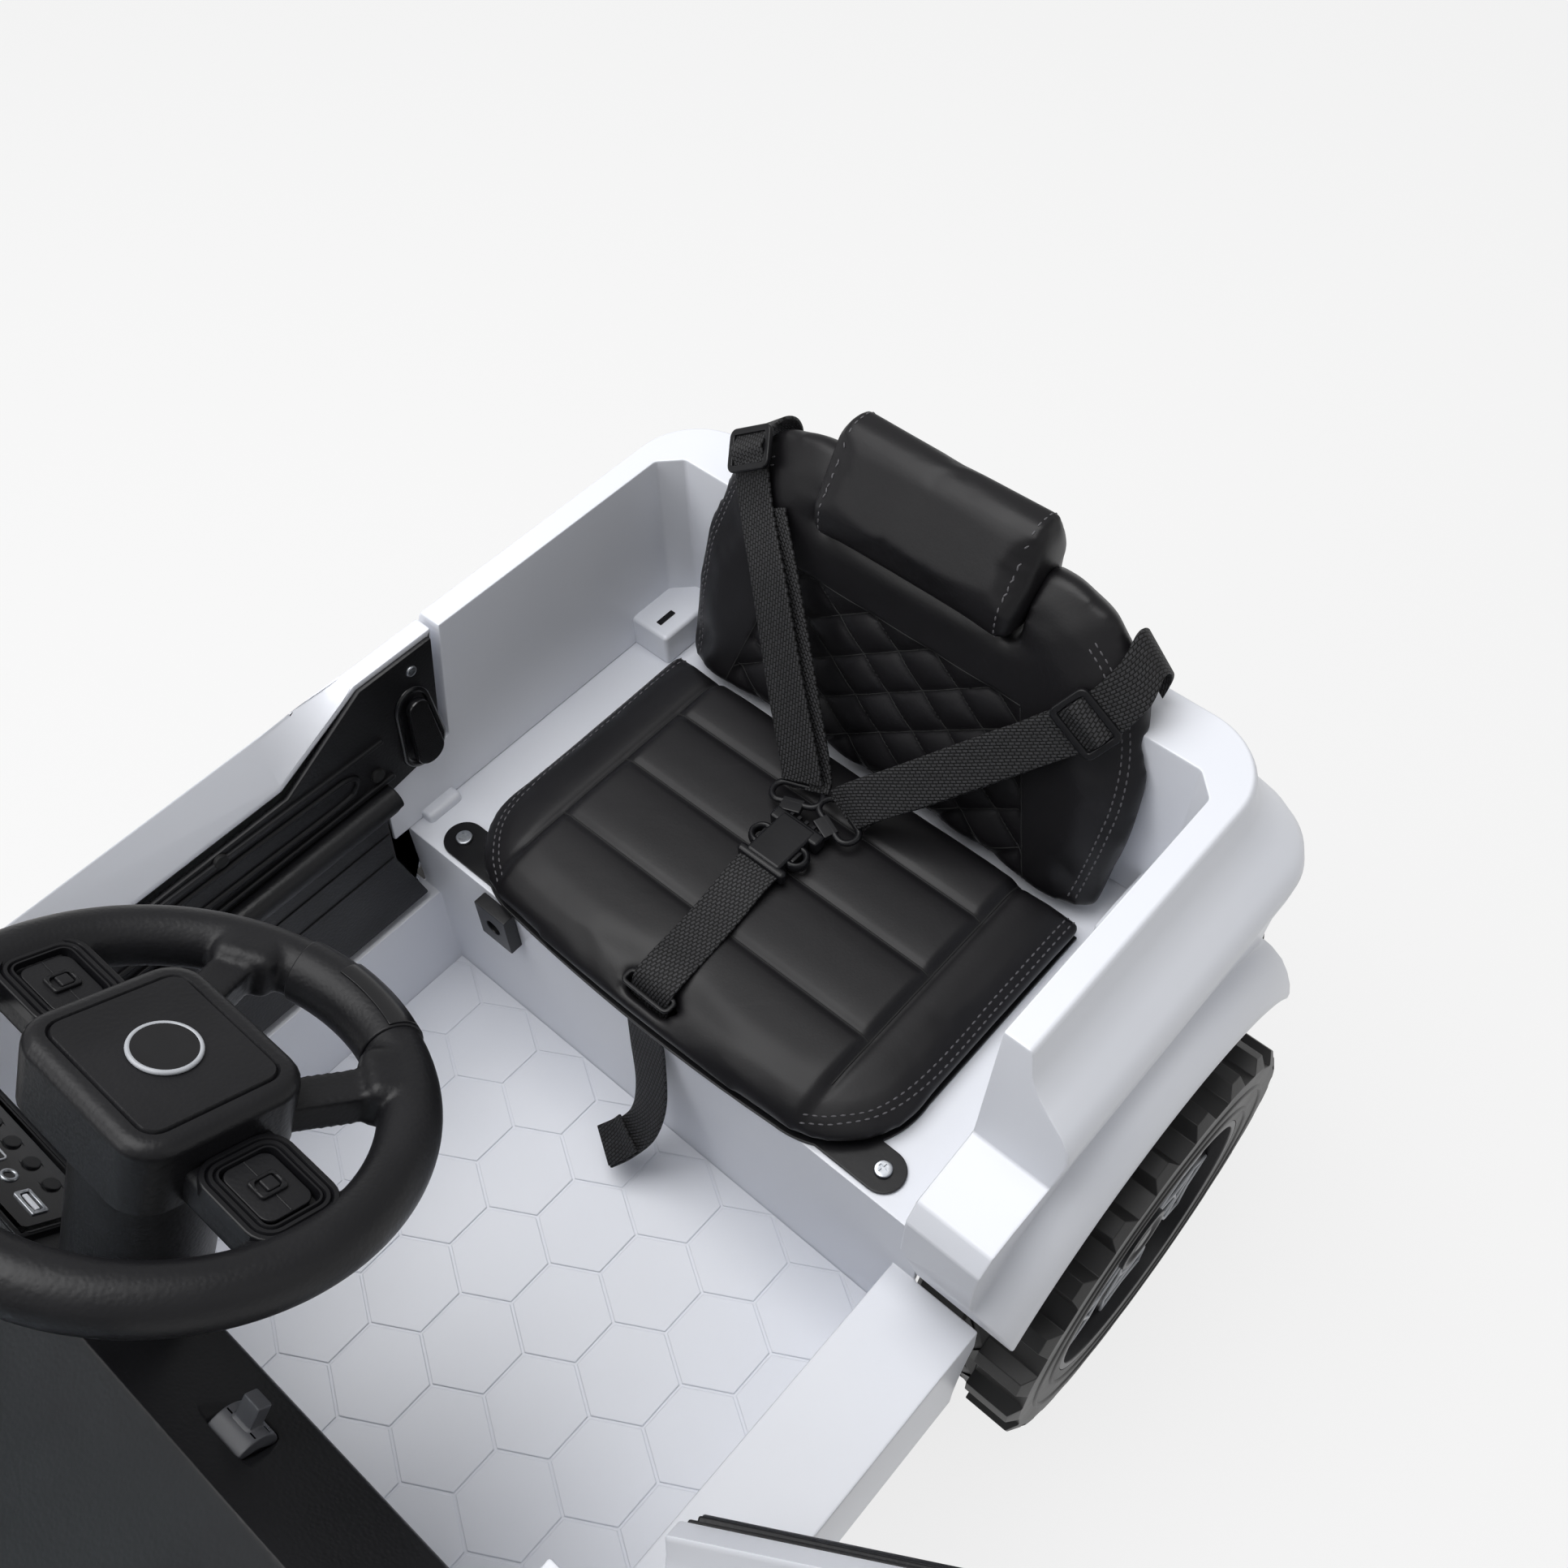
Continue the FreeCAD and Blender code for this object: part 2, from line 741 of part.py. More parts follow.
def rear_bumper():
    shape = bumper(rear_end + bumper_depth, rear_end - 2 * bumper_wall, bumper_level())
    gap = run_gap
    back = rear_end - waist_shares[0][1] * rail_setback + gap
    block = [plan_wire(body_half_width + gap, jamb_foot, back, corner_radius, z) for z in (body_bottom - gap, rail_top)]
    return shape.cut(loft(block))


def headlights():
    outer = grille_half_width + fit_gap + lamp_width
    inner = grille_half_width + fit_gap
    blank = [plan_wire(body_half_width + lamp_depth, a_pillar, front_end - lamp_depth, corner_radius + lamp_depth, z)
             for z in (lamp_bottom, lamp_bottom + lamp_height)]
    body = [plan_wire(body_half_width, a_pillar, front_end, corner_radius, z)
            for z in (lamp_bottom - overrun, lamp_bottom + lamp_height + overrun)]
    lens = loft(blank).cut(loft(body)).common(box(inner, outer, front_end - overrun, front_end + corner_radius,
                                                  lamp_bottom, shoulder_base))
    return Part.makeCompound(both(lens))


def tail_lights():
    high = min(tail_lamp_bottom + tail_lamp_height, shoulder_base)
    blank = [plan_wire(body_half_width + wall, jamb_foot, rear_end + wall, corner_radius + wall, z)
             for z in (tail_lamp_bottom, high)]
    body = [plan_wire(body_half_width, jamb_foot, rear_end, corner_radius, z)
            for z in (tail_lamp_bottom - overrun, high + overrun)]
    lens = loft(blank).cut(loft(body))
    edge = body_half_width - corner_radius
    keep = box(edge - tail_lamp_width, edge + corner_radius / 4, rear_end - corner_radius / 2,
               rear_end + overrun, tail_lamp_bottom, high)
    return Part.makeCompound(both(lens.common(keep)))


def screen_place(shape):
    """Leans a flat upright screen back over the cowl."""
    copy = shape.copy()
    copy.rotate(ORIGIN, X_AXIS, -math.degrees(math.atan2(screen_lean, screen_rise)))
    copy.translate(Vector(0, cowl - hood_back_offset / 2, hood_line + fit_gap))
    return copy


def screen_outline(inset):
    length = math.hypot(screen_rise, screen_lean)
    return [(inset - screen_base_half, inset), (screen_base_half - inset, inset),
            (screen_top_half - inset, length - inset), (inset - screen_top_half, length - inset)]


def windscreen_frame():
    half = screen_thickness / 2
    frame = prism_y(screen_outline(0), -half, half)
    frame = frame.cut(prism_y(screen_outline(screen_bar), -screen_thickness, screen_thickness))
    rebate = (pane_thickness + fit_gap) / 2
    frame = frame.cut(prism_y(screen_outline(screen_bar / 2), -rebate, rebate))
    ground = box(-body_half_width, body_half_width, front_end, a_pillar, 0, hood_line)
    return screen_place(frame).cut(ground)


def windscreen_pane():
    half = pane_thickness / 2
    return screen_place(prism_y(screen_outline(screen_bar / 2 + fit_gap / 2), -half, half))


def dash_face():
    return front_y + dash_face_offset


def dash_profile(inset):
    """The dashboard seen from the side, from its lower rear edge round to its front edge."""
    face = dash_face()
    crest = face - dash_slope
    front = cowl + fit_gap + inset
    slope_shift = inset * math.sqrt(2) / 2
    return [(face - inset, dash_bottom - (overrun if inset else 0)), (face - inset, dash_lip - slope_shift / 2),
            (crest - slope_shift / 2, dash_crest - inset), (front, dash_tail - inset),
            (front, dash_bottom - (overrun if inset else 0))]


def slope_place(shape, x, share):
    """Lays a flat shape on the dashboard's slope, at a share of the way up it."""
    face = dash_face()
    rise = dash_crest - dash_lip
    copy = shape.copy()
    copy.rotate(ORIGIN, X_AXIS, -math.degrees(math.atan2(rise, dash_slope)))
    copy.translate(Vector(x, face - share * dash_slope, dash_lip + share * rise))
    return copy


def slope_length():
    return math.hypot(dash_slope, dash_crest - dash_lip)


def key_places():
    start = -(key_count - 1) / 2 * key_pitch
    return [start + index * key_pitch for index in range(key_count)]


def selector_pin_drop():
    return selector_radius * selector_depth_share


def dashboard():
    half = cabin_half_width - fit_gap
    shell = prism_x(dash_profile(0), -half, half).cut(prism_x(dash_profile(wall), wall - half, half - wall))
    block = box(-radio_half_length, radio_half_length, -radio_depth / 2, radio_depth / 2, -2 * wall, wall)
    shell = shell.fuse(slope_place(block, radio_x, 1 / 2))
    inner_x = radio_half_length - radio_margin
    inner_y = radio_depth / 2 - radio_margin
    seat = box(-inner_x, inner_x, -inner_y, inner_y, wall - radio_plate, wall + overrun)
    shell = shell.cut(slope_place(seat, radio_x, 1 / 2))
    row = (key_row_share - 1 / 2) * 2 * inner_y
    strip_half = (key_count * key_pitch) / 2 + key_strip
    room = box(-strip_half, strip_half, row - key_pitch / 2, row + key_pitch / 2,
               -wall - key_travel - fit_gap, wall)
    shell = shell.cut(slope_place(room, radio_x, 1 / 2))
    shroud_top = steer_centre - axis_up * (hub_drop + wall)
    shroud_low = shroud_top - axis_up * ((shroud_top.z - dash_lip - shroud_foot_rise) / axis_up.z)
    shroud = rod(shroud_low, shroud_top, shroud_radius)
    shell = shell.fuse(shroud)
    shell = shell.cut(rod(column_end, steer_centre, column_radius + run_gap))
    drop = selector_pin_drop()
    pocket_half = selector_width / 2 + fit_gap
    pocket = rod(Vector(-pocket_half, 0, -drop), Vector(pocket_half, 0, -drop), selector_radius + fit_gap)
    frame_half = pocket_half + wall
    frame = rod(Vector(-frame_half, 0, -drop), Vector(frame_half, 0, -drop), selector_radius + fit_gap + wall)
    frame = frame.common(box(-frame_half, frame_half, -2 * selector_radius, 2 * selector_radius,
                             -2 * selector_radius, 0))
    shell = shell.fuse(slope_place(frame, selector_x, 1 / 2))
    pin = rod(Vector(-frame_half - wall, 0, -drop), Vector(frame_half + wall, 0, -drop), selector_pin_radius + run_gap)
    for cut_shape in (pocket, pin):
        shell = shell.cut(slope_place(cut_shape, selector_x, 1 / 2))
    return shell.removeSplitter()


def radio_panel():
    inner_x = radio_half_length - radio_margin - fit_gap / 2
    inner_y = radio_depth / 2 - radio_margin - fit_gap / 2
    plate = box(-inner_x, inner_x, -inner_y, inner_y, wall - radio_plate, wall)
    row = (key_row_share - 1 / 2) * 2 * (radio_depth / 2 - radio_margin)
    for x in key_places():
        plate = plate.cut(rod(Vector(x, row, 0), Vector(x, row, wall + overrun), key_radius + fit_gap))
    return slope_place(plate, radio_x, 1 / 2)


def radio_keys():
    row = (key_row_share - 1 / 2) * 2 * (radio_depth / 2 - radio_margin)
    top = wall + key_travel + fit_gap
    back = wall - radio_plate - fit_gap
    half = (key_count * key_pitch) / 2
    parts = [box(-half, half, row - key_radius, row + key_radius, back - key_strip, back)]
    for x in key_places():
        parts.append(rod(Vector(x, row, back - key_strip), Vector(x, row, top), key_radius))
    return slope_place(fused(parts), radio_x, 1 / 2)


def drive_selector():
    drop = selector_pin_drop()
    half = selector_width / 2
    drum = rod(Vector(-half, 0, -drop), Vector(half, 0, -drop), selector_radius)
    grip = box(-half / 2, half / 2, -wall, wall, -drop, selector_handle)
    reach = half + wall + fit_gap
    pin = rod(Vector(-reach, 0, -drop), Vector(reach, 0, -drop), selector_pin_radius)
    return slope_place(fused([drum, grip, pin]), selector_x, 1 / 2)


def spoke_parts():
    """Two side spokes and two legs towards the driver, about the column axis."""
    low = -spoke_thickness / 2
    high = spoke_thickness / 2
    parts = []
    for side in (-1, 1):
        end = side * rim_radius
        parts.append(box(min(0, end), max(0, end), -spoke_half_width, spoke_half_width, low, high))
        start = Vector(side * hub_half_width * leg_start_share, hub_half_length * leg_start_share, 0)
        foot = Vector(side * rim_radius * math.sin(leg_spread), rim_radius * math.cos(leg_spread), 0)
        way = (foot - start).normalize()
        across = Vector(-way.y, way.x, 0) * (leg_width / 2)
        corners = [start + across, foot + across, foot - across, start - across]
        parts.append(prism_z([(p.x, p.y) for p in corners], low, high))
    return parts


def hub_outline(shrink):
    wide = hub_half_width - shrink
    long = hub_half_length - shrink
    cut = hub_half_width / 4
    return [(-wide, -long + cut), (cut - wide, -long), (wide - cut, -long), (wide, -long + cut),
            (wide, long / 3), (wide - cut, long), (cut - wide, long), (-wide, long / 3)]


def pad_box(side, grow, low, high):
    x0 = side * (pad_inner - grow)
    x1 = side * (pad_outer + grow)
    return box(min(x0, x1), max(x0, x1), -pad_half_width - grow, pad_half_width + grow, low, high)


def steering_rim():
    ring = Part.makeTorus(rim_radius, rim_tube)
    core = prism_z(hub_outline(hub_bevel), -spoke_thickness / 2, spoke_thickness / 2)
    wheel = fused([ring, core] + spoke_parts())
    floor = spoke_thickness / 2 - pad_recess - pad_travel
    for side in (-1, 1):
        wheel = wheel.cut(pad_box(side, fit_gap, floor - fit_gap, spoke_thickness + overrun))
    wheel = wheel.cut(rod(ORIGIN - Z_AXIS * overrun, Z_AXIS * overrun, column_radius))
    return tilted(wheel)


def hub_cover():
    base = spoke_thickness / 2
    wires = [polygon_wire([Vector(x, y, z) for x, y in hub_outline(shrink)])
             for z, shrink in ((base, 0), (hub_rise - hub_bevel, 0), (hub_rise, hub_bevel))]
    cover = loft(wires)
    inside = loft([polygon_wire([Vector(x, y, z) for x, y in hub_outline(hub_bevel)])
                   for z in (base, hub_rise - wall)])
    return tilted(cover.cut(inside))


def horn_button(side):
    floor = spoke_thickness / 2 - pad_recess
    return tilted(pad_box(side, 0, floor, floor + pad_thickness))


def crank_pin_place():
    return column_end + axis_rear * crank_radius


def steering_column():
    top = steer_centre + axis_up * (spoke_thickness / 2)
    shaft = rod(column_end, top, column_radius)
    arm = box(-crank_half_width, crank_half_width, 0, crank_radius, 0, crank_thickness)
    arm = arm.fuse(rod(Vector(0, crank_radius, 0), Vector(0, crank_radius, crank_thickness), crank_half_width))
    arm.rotate(ORIGIN, X_AXIS, -steer_tilt)
    arm.translate(column_end)
    pin_place = crank_pin_place()
    pin = rod(pin_place - axis_up * crank_pin_length, pin_place + axis_up * crank_thickness, crank_pin_radius)
    return fused([shaft, arm, pin])


def arm_pin_y():
    return front_y + arm_length


def tie_rod():
    y = arm_pin_y()
    z = link_level
    end_x = kingpin_x - link_margin
    bar = rod(Vector(-end_x, y, z), Vector(end_x, y, z), tie_radius)
    parts = [bar]
    cuts = []
    half_slot = arm_pin_radius + slot_play
    for x in (-kingpin_x, kingpin_x):
        half = half_slot + link_margin
        long = arm_pin_radius + slot_reach
        parts.append(box(x - half, x + half, y - long - link_margin, y + long + link_margin,
                         z - link_thickness / 2, z + link_thickness / 2))
        cuts.append(box(x - half_slot, x + half_slot, y - long, y + long, z - overrun, z + overrun))
    half = crank_pin_radius + slot_play
    long = crank_pin_radius + slot_reach
    plate = box(-half - link_margin, half + link_margin, -long - link_margin, long + link_margin, 0, link_thickness)
    hole = box(-half, half, -long, long, -overrun, overrun)
    place = crank_pin_place() - axis_up * (crank_pin_length - link_thickness / 2)
    for shape in (plate, hole):
        shape.rotate(ORIGIN, X_AXIS, -steer_tilt)
        shape.translate(place)
    reach = [y, place.y - long - link_margin / 2]
    neck = box(-half - link_margin, half + link_margin, min(reach), max(reach), z - link_thickness / 2,
               z + link_thickness / 2)
    bar_body = fused(parts + [plate, neck])
    for shape in cuts + [hole]:
        bar_body = bar_body.cut(shape)
    return bar_body


def knuckle_left():
    top = beam_top
    low = top - beam_height
    gap = fit_gap
    x = kingpin_x
    half = fork_half_width
    web_in = x + fork_reach
    web_out = web_in + fork_web
    upper = box(x - half, web_out, front_y - half, front_y + half, top + gap, top + gap + fork_thickness)
    lower = box(x - half, web_out, front_y - half, front_y + half, low - gap - fork_thickness, low - gap)
    web = box(web_in, web_out, front_y - half, front_y + half, low - gap - fork_thickness, top + gap + fork_thickness)
    king = rod(Vector(x, front_y, low - gap - fork_thickness), Vector(x, front_y, top + gap + fork_thickness),
               kingpin_radius)
    arm = box(x - arm_half_width, x + arm_half_width, front_y, arm_pin_y() + arm_half_width,
              top + gap, top + gap + fork_thickness)
    pin = rod(Vector(x, arm_pin_y(), link_level - link_thickness), Vector(x, arm_pin_y(), top + gap + fork_thickness),
              arm_pin_radius)
    spindle = rod(Vector(web_in, front_y, axle_z), Vector(wheel_out - axle_end_gap, front_y, axle_z), spindle_radius)
    collar = rod(Vector(web_in, front_y, axle_z), Vector(wheel_in + axle_end_gap / 2 - fit_gap, front_y, axle_z),
                 spindle_collar)
    return Part.makeCompound([fused([upper, lower, web, king, arm, pin, spindle, collar]), lock_nut(front_y)])


def lock_nut(y):
    """A hexagon nut on the left axle end, outside the hub disc."""
    x1 = wheel_out - axle_end_gap
    x0 = wheel_out - hub_recess + fit_gap
    corners = []
    for index in range(6):
        angle = math.radians(60 * index)
        corners.append((y + nut_radius * math.cos(angle), axle_z + nut_radius * math.sin(angle)))
    bore = rod(Vector(x0, y, axle_z), Vector(x1, y, axle_z), spindle_radius)
    return prism_x(corners, x0, x1).cut(bore)


def front_axle_beam():
    top = beam_top
    low = top - beam_height
    bar = box(-kingpin_x, kingpin_x, front_y - beam_width / 2, front_y + beam_width / 2, low, top)
    bosses = both(rod(Vector(kingpin_x, front_y, low), Vector(kingpin_x, front_y, top), boss_radius))
    beam = fused([bar] + bosses)
    for x in (-kingpin_x, kingpin_x):
        beam = beam.cut(rod(Vector(x, front_y, low - overrun), Vector(x, front_y, top + overrun),
                            kingpin_radius + run_gap))
    return beam


def rear_axle():
    end = wheel_out - axle_end_gap
    bar = rod(Vector(-end, rear_y, axle_z), Vector(end, rear_y, axle_z), spindle_radius)
    return Part.makeCompound([bar] + both(lock_nut(rear_y)))


def lug_disc(x0, x1, turn):
    """One row of tread lugs: a toothed disc about the wheel's axis."""
    pitch = 2 * math.pi / lug_count
    root = wheel_radius - tread_depth
    tip = wheel_radius / math.cos(pitch * lug_share / 4)
    points = []
    for index in range(lug_count):
        middle = (index + turn) * pitch - math.pi / 2
        for radius, share in ((root, -lug_share / 2), (tip, -lug_share / 4), (tip, lug_share / 4),
                              (root, lug_share / 2)):
            angle = middle + share * pitch
            points.append((radius * math.cos(angle), radius * math.sin(angle)))
    return prism_x(points, x0, x1)


def tyre(x, y):
    """A blow-moulded tyre about the origin's crosswise axis, put at its wheel."""
    half = wheel_width / 2
    inner_row = lug_disc(-half, -centre_rib / 2, 0)
    outer_row = lug_disc(centre_rib / 2, half, 1 / 2)
    rib = Part.makeCylinder(wheel_radius - tread_depth, centre_rib, Vector(-centre_rib / 2, 0, 0), X_AXIS)
    ring = fused([inner_row, rib, outer_row])
    cone = [(-half, tyre_bead_radius), (half, tyre_bead_radius), (half, wheel_radius - shoulder_chamfer),
            (half - shoulder_chamfer, wheel_radius + tread_depth / 2),
            (shoulder_chamfer - half, wheel_radius + tread_depth / 2), (-half, wheel_radius - shoulder_chamfer)]
    limit = revolved_x(cone, 0, 0, 0, 360)
    side = half - tyre_sidewall
    crown = wheel_radius - tread_depth - tyre_tread_wall
    channel = [(-side, tyre_bead_radius - overrun), (side, tyre_bead_radius - overrun), (side, crown - overrun / 2),
               (side - overrun / 2, crown), (overrun / 2 - side, crown), (-side, crown - overrun / 2)]
    carcass = ring.common(limit).cut(revolved_x(channel, 0, 0, 0, 360))
    return moved(carcass, Vector(x, y, axle_z))


def hub(side, y):
    """A dished wheel centre: rim, disc with windows and the tube that turns on the axle."""
    face = wheel_width / 2 - hub_recess
    disc = Part.makeCylinder(tyre_bead_radius, hub_disc, Vector(face - hub_disc, 0, 0), X_AXIS)
    rim_start = -wheel_width / 2
    rim = Part.makeCylinder(tyre_bead_radius, wheel_width, Vector(rim_start, 0, 0), X_AXIS)
    rim = rim.cut(Part.makeCylinder(tyre_bead_radius - hub_rim, wheel_width, Vector(rim_start, 0, 0), X_AXIS))
    tube_start = rim_start + axle_end_gap / 2
    sleeve = Part.makeCylinder(hub_tube_radius, face - tube_start, Vector(tube_start, 0, 0), X_AXIS)
    body = fused([disc, rim, sleeve])
    for index in range(hub_spokes):
        angle = 2 * math.pi * index / hub_spokes
        radius = tyre_bead_radius * hub_window_share
        place = Vector(face - hub_disc - overrun, radius * math.cos(angle), radius * math.sin(angle))
        body = body.cut(Part.makeCylinder(hub_window_radius, hub_disc + 2 * overrun, place, X_AXIS))
    bore = Part.makeCylinder(spindle_radius + run_gap, 2 * wheel_width, Vector(-wheel_width, 0, 0), X_AXIS)
    body = body.cut(bore)
    placed = moved(body, Vector(wheel_x, y, axle_z))
    return placed if side > 0 else mirrored(placed)


def gear_points(teeth, turn):
    """A straight-flanked toothed outline, with a tooth at the given share of a pitch from straight up."""
    pitch = 2 * math.pi / teeth
    pitch_radius = gear_module * teeth / 2
    tip = pitch_radius + gear_module * tooth_depth_share
    root = pitch_radius - gear_module
    points = []
    for index in range(teeth):
        middle = (index + turn) * pitch
        for radius, share in ((root, -tooth_root_share / 2), (tip, -tooth_tip_share / 2),
                              (tip, tooth_tip_share / 2), (root, tooth_root_share / 2)):
            angle = middle + share * pitch
            points.append((-radius * math.cos(angle), radius * math.sin(angle)))
    return points


def gear_gap():
    return gear_module * (gear_teeth + pinion_teeth) / 2


def gear_inner_x():
    return gearbox_x + gearbox_wall + gearbox_gap


def drive_gear_left():
    x0 = gear_inner_x()
    wheel = prism_x(gear_points(gear_teeth, 0), x0, x0 + gear_width)
    sleeve_end = wheel_in + axle_end_gap / 2
    sleeve = Part.makeCylinder(gear_sleeve_radius, sleeve_end - x0, Vector(x0, 0, 0), X_AXIS)
    body = fused([wheel, sleeve])
    body = body.cut(Part.makeCylinder(spindle_radius + run_gap, sleeve_end, Vector(0, 0, 0), X_AXIS))
    return moved(body, Vector(0, rear_y, axle_z))


def motor_pinion_left():
    x0 = gear_inner_x() - pinion_extra / 2
    turn = 1 / 2 if pinion_teeth % 2 == 0 else 0
    pinion = prism_x(gear_points(pinion_teeth, turn), x0, x0 + gear_width + pinion_extra)
    shaft_start = gearbox_x - motor_length / 2
    shaft = Part.makeCylinder(motor_shaft_radius, x0 + gear_width - shaft_start, Vector(shaft_start, 0, 0), X_AXIS)
    return moved(fused([pinion, shaft]), Vector(0, rear_y - gear_gap(), axle_z))


def gearbox_outer_x():
    return gear_inner_x() + gear_width + gearbox_gap + gearbox_wall


def gear_motor_left():
    gear_radius = gear_module * (gear_teeth / 2 + 1) + gearbox_gap
    pinion_radius = gear_module * (pinion_teeth / 2 + 1) + gearbox_gap
    x1 = gearbox_outer_x()

    def shell(grow, x_start, x_end):
        big = rod(Vector(x_start, rear_y, axle_z), Vector(x_end, rear_y, axle_z), gear_radius + grow)
        small = rod(Vector(x_start, rear_y - gear_gap(), axle_z), Vector(x_end, rear_y - gear_gap(), axle_z),
                    pinion_radius + grow)
        bridge = box(x_start, x_end, rear_y - gear_gap(), rear_y, axle_z - pinion_radius - grow,
                     axle_z + pinion_radius + grow)
        return fused([big, small, bridge])

    case = shell(gearbox_wall, gearbox_x, x1).cut(shell(0, gearbox_x + gearbox_wall, x1 - gearbox_wall))
    case = case.cut(rod(Vector(gearbox_x, rear_y, axle_z), Vector(x1, rear_y, axle_z), spindle_radius))
    case = case.cut(rod(Vector(gearbox_x + gearbox_wall, rear_y, axle_z), Vector(x1, rear_y, axle_z),
                        gear_sleeve_radius + fit_gap))
    motor_y = rear_y - gear_gap()
    can = rod(Vector(gearbox_x - motor_length, motor_y, axle_z), Vector(gearbox_x, motor_y, axle_z), motor_radius)
    shaft_hole = rod(Vector(gearbox_x - motor_length / 2, motor_y, axle_z), Vector(x1 - gearbox_wall, motor_y, axle_z),
                     motor_shaft_radius + run_gap)
    return Part.makeCompound([case.cut(shaft_hole), can.cut(shaft_hole)])


def battery():
    y0 = box_front + wall + battery_offset
    low = tray_level + wall
    height = min(battery_height, seat_box_top - wall - low - fit_gap)
    block = box(-battery_width / 2, battery_width / 2, y0, y0 + battery_length, low, low + height)
    return block


def control_box():
    y0 = box_front + wall + control_offset
    low = tray_level + wall
    return box(-control_width / 2, control_width / 2, y0, y0 + control_length, low, low + control_height)


def charge_socket():
    top = seat_box_top - socket_drop
    block = box(socket_x - socket_width / 2, socket_x + socket_width / 2, box_front - socket_depth, box_front,
                top - socket_height, top)
    middle = top - socket_height / 2
    bore = rod(Vector(socket_x, box_front - socket_depth, middle),
               Vector(socket_x, box_front - socket_depth + socket_bore_depth, middle), socket_bore_radius)
    return block.cut(bore)


def seat_front():
    return rear_y - seat_front_lead


def seat_rear():
    return rear_y + seat_rear_offset


def seat_wire(inset, z):
    """The seat seen from above: straight sides, rounded front corners and a gently bowed front."""
    half = seat_half_width - inset
    front = seat_front() + inset
    rear = seat_rear() - inset / 4
    corner_y = seat_front() + seat_corner_length
    front_half = seat_front_half - inset / 2
    mid_x = (half + front_half) / 2 + (half - front_half) / 5
    mid_y = (corner_y + front) / 2 - (corner_y - front) / 5
    bow = (corner_y - front) / 16
    edges = [Part.LineSegment(Vector(half, rear, z), Vector(half, corner_y, z)),
             Part.Arc(Vector(half, corner_y, z), Vector(mid_x, mid_y, z), Vector(front_half, front + bow, z)),
             Part.Arc(Vector(front_half, front + bow, z), Vector(0, front, z), Vector(-front_half, front + bow, z)),
             Part.Arc(Vector(-front_half, front + bow, z), Vector(-mid_x, mid_y, z), Vector(-half, corner_y, z)),
             Part.LineSegment(Vector(-half, corner_y, z), Vector(-half, rear, z)),
             Part.LineSegment(Vector(-half, rear, z), Vector(half, rear, z))]
    return Part.Wire([edge.toShape() for edge in edges])


def screw_place(side):
    return Vector(side * seat_half_width, rear_y - seat_screw_lead, seat_box_top)


def strap_slot(z0, z1):
    y = rear_y - strap_slot_lead
    return box(strap_slot_x - strap_slot_length / 2, strap_slot_x + strap_slot_length / 2,
               y - strap_slot_width / 2, y + strap_slot_width / 2, z0, z1)


def seat_base():
    top = seat_box_top + seat_base_thickness
    plate = loft([seat_wire(cushion_draw, seat_box_top), seat_wire(cushion_draw, top)])
    ears = []
    for side in (-1, 1):
        place = screw_place(side)
        ear = rod(place, place + Z_AXIS * seat_base_thickness, seat_ear_radius)
        tongue = box(min(place.x, 0), max(place.x, 0), place.y - seat_ear_radius, place.y + seat_ear_radius,
                     seat_box_top, top)
        ears.append(ear.fuse(tongue.common(box(-seat_half_width, seat_half_width, place.y - seat_ear_radius,
                                               place.y + seat_ear_radius, seat_box_top, top))))
    plate = fused([plate] + ears)
    return plate.cut(strap_slot(0, rail_top))


def seat_screws():
    heads = []
    for side in (-1, 1):
        base = screw_place(side) + Z_AXIS * seat_base_thickness
        heads.append(rod(base, base + Z_AXIS * seat_screw_height, seat_screw_radius))
    return Part.makeCompound(heads)


def cushion_base():
    return seat_box_top + seat_base_thickness


def seat_cushion():
    wires = []
    for height_share, draw_share, crown_share in cushion_shares:
        inset = draw_share * cushion_draw + crown_share * cushion_crown_inset
        wires.append(seat_wire(inset, cushion_base() + height_share * cushion_height))
    pad = loft(wires)
    top = cushion_base() + cushion_height
    length = seat_rear() - seat_front()
    for share in channel_shares:
        y = seat_front() + share * length
        groove = [(y - channel_width / 2, top + channel_width), (y + channel_width / 2, top + channel_width),
                  (y, top - channel_depth)]
        pad = pad.cut(prism_x(groove, -channel_half_length, channel_half_length))
    for x in (-channel_half_length, channel_half_length):
        groove = [(x - channel_width / 2, top + channel_width), (x + channel_width / 2, top + channel_width),
                  (x, top - channel_depth)]
        pad = pad.cut(prism_y(groove, seat_front() - overrun, seat_rear() + overrun))
    for side in (-1, 1):
        place = screw_place(side)
        pad = pad.cut(rod(place, place + Z_AXIS * cushion_height, 2 * seat_screw_radius))
    return pad.cut(strap_slot(0, rail_top))


def back_place(shape):
    """Stands a shape made flat, with its front face up and its foot at the origin, at the seat's rear."""
    copy = shape.copy()
    copy.rotate(ORIGIN, X_AXIS, 90 - back_lean)
    copy.translate(Vector(0, back_foot_y(), seat_box_top + back_lift))
    return copy


def back_foot_y():
    return seat_rear() + back_thickness


def back_outline(inset):
    right = [(half_share * seat_half_width - inset, height_share * (back_height - inset))
             for half_share, height_share in back_shares]
    left = [(-x, y) for x, y in reversed(right)]
    return right + left


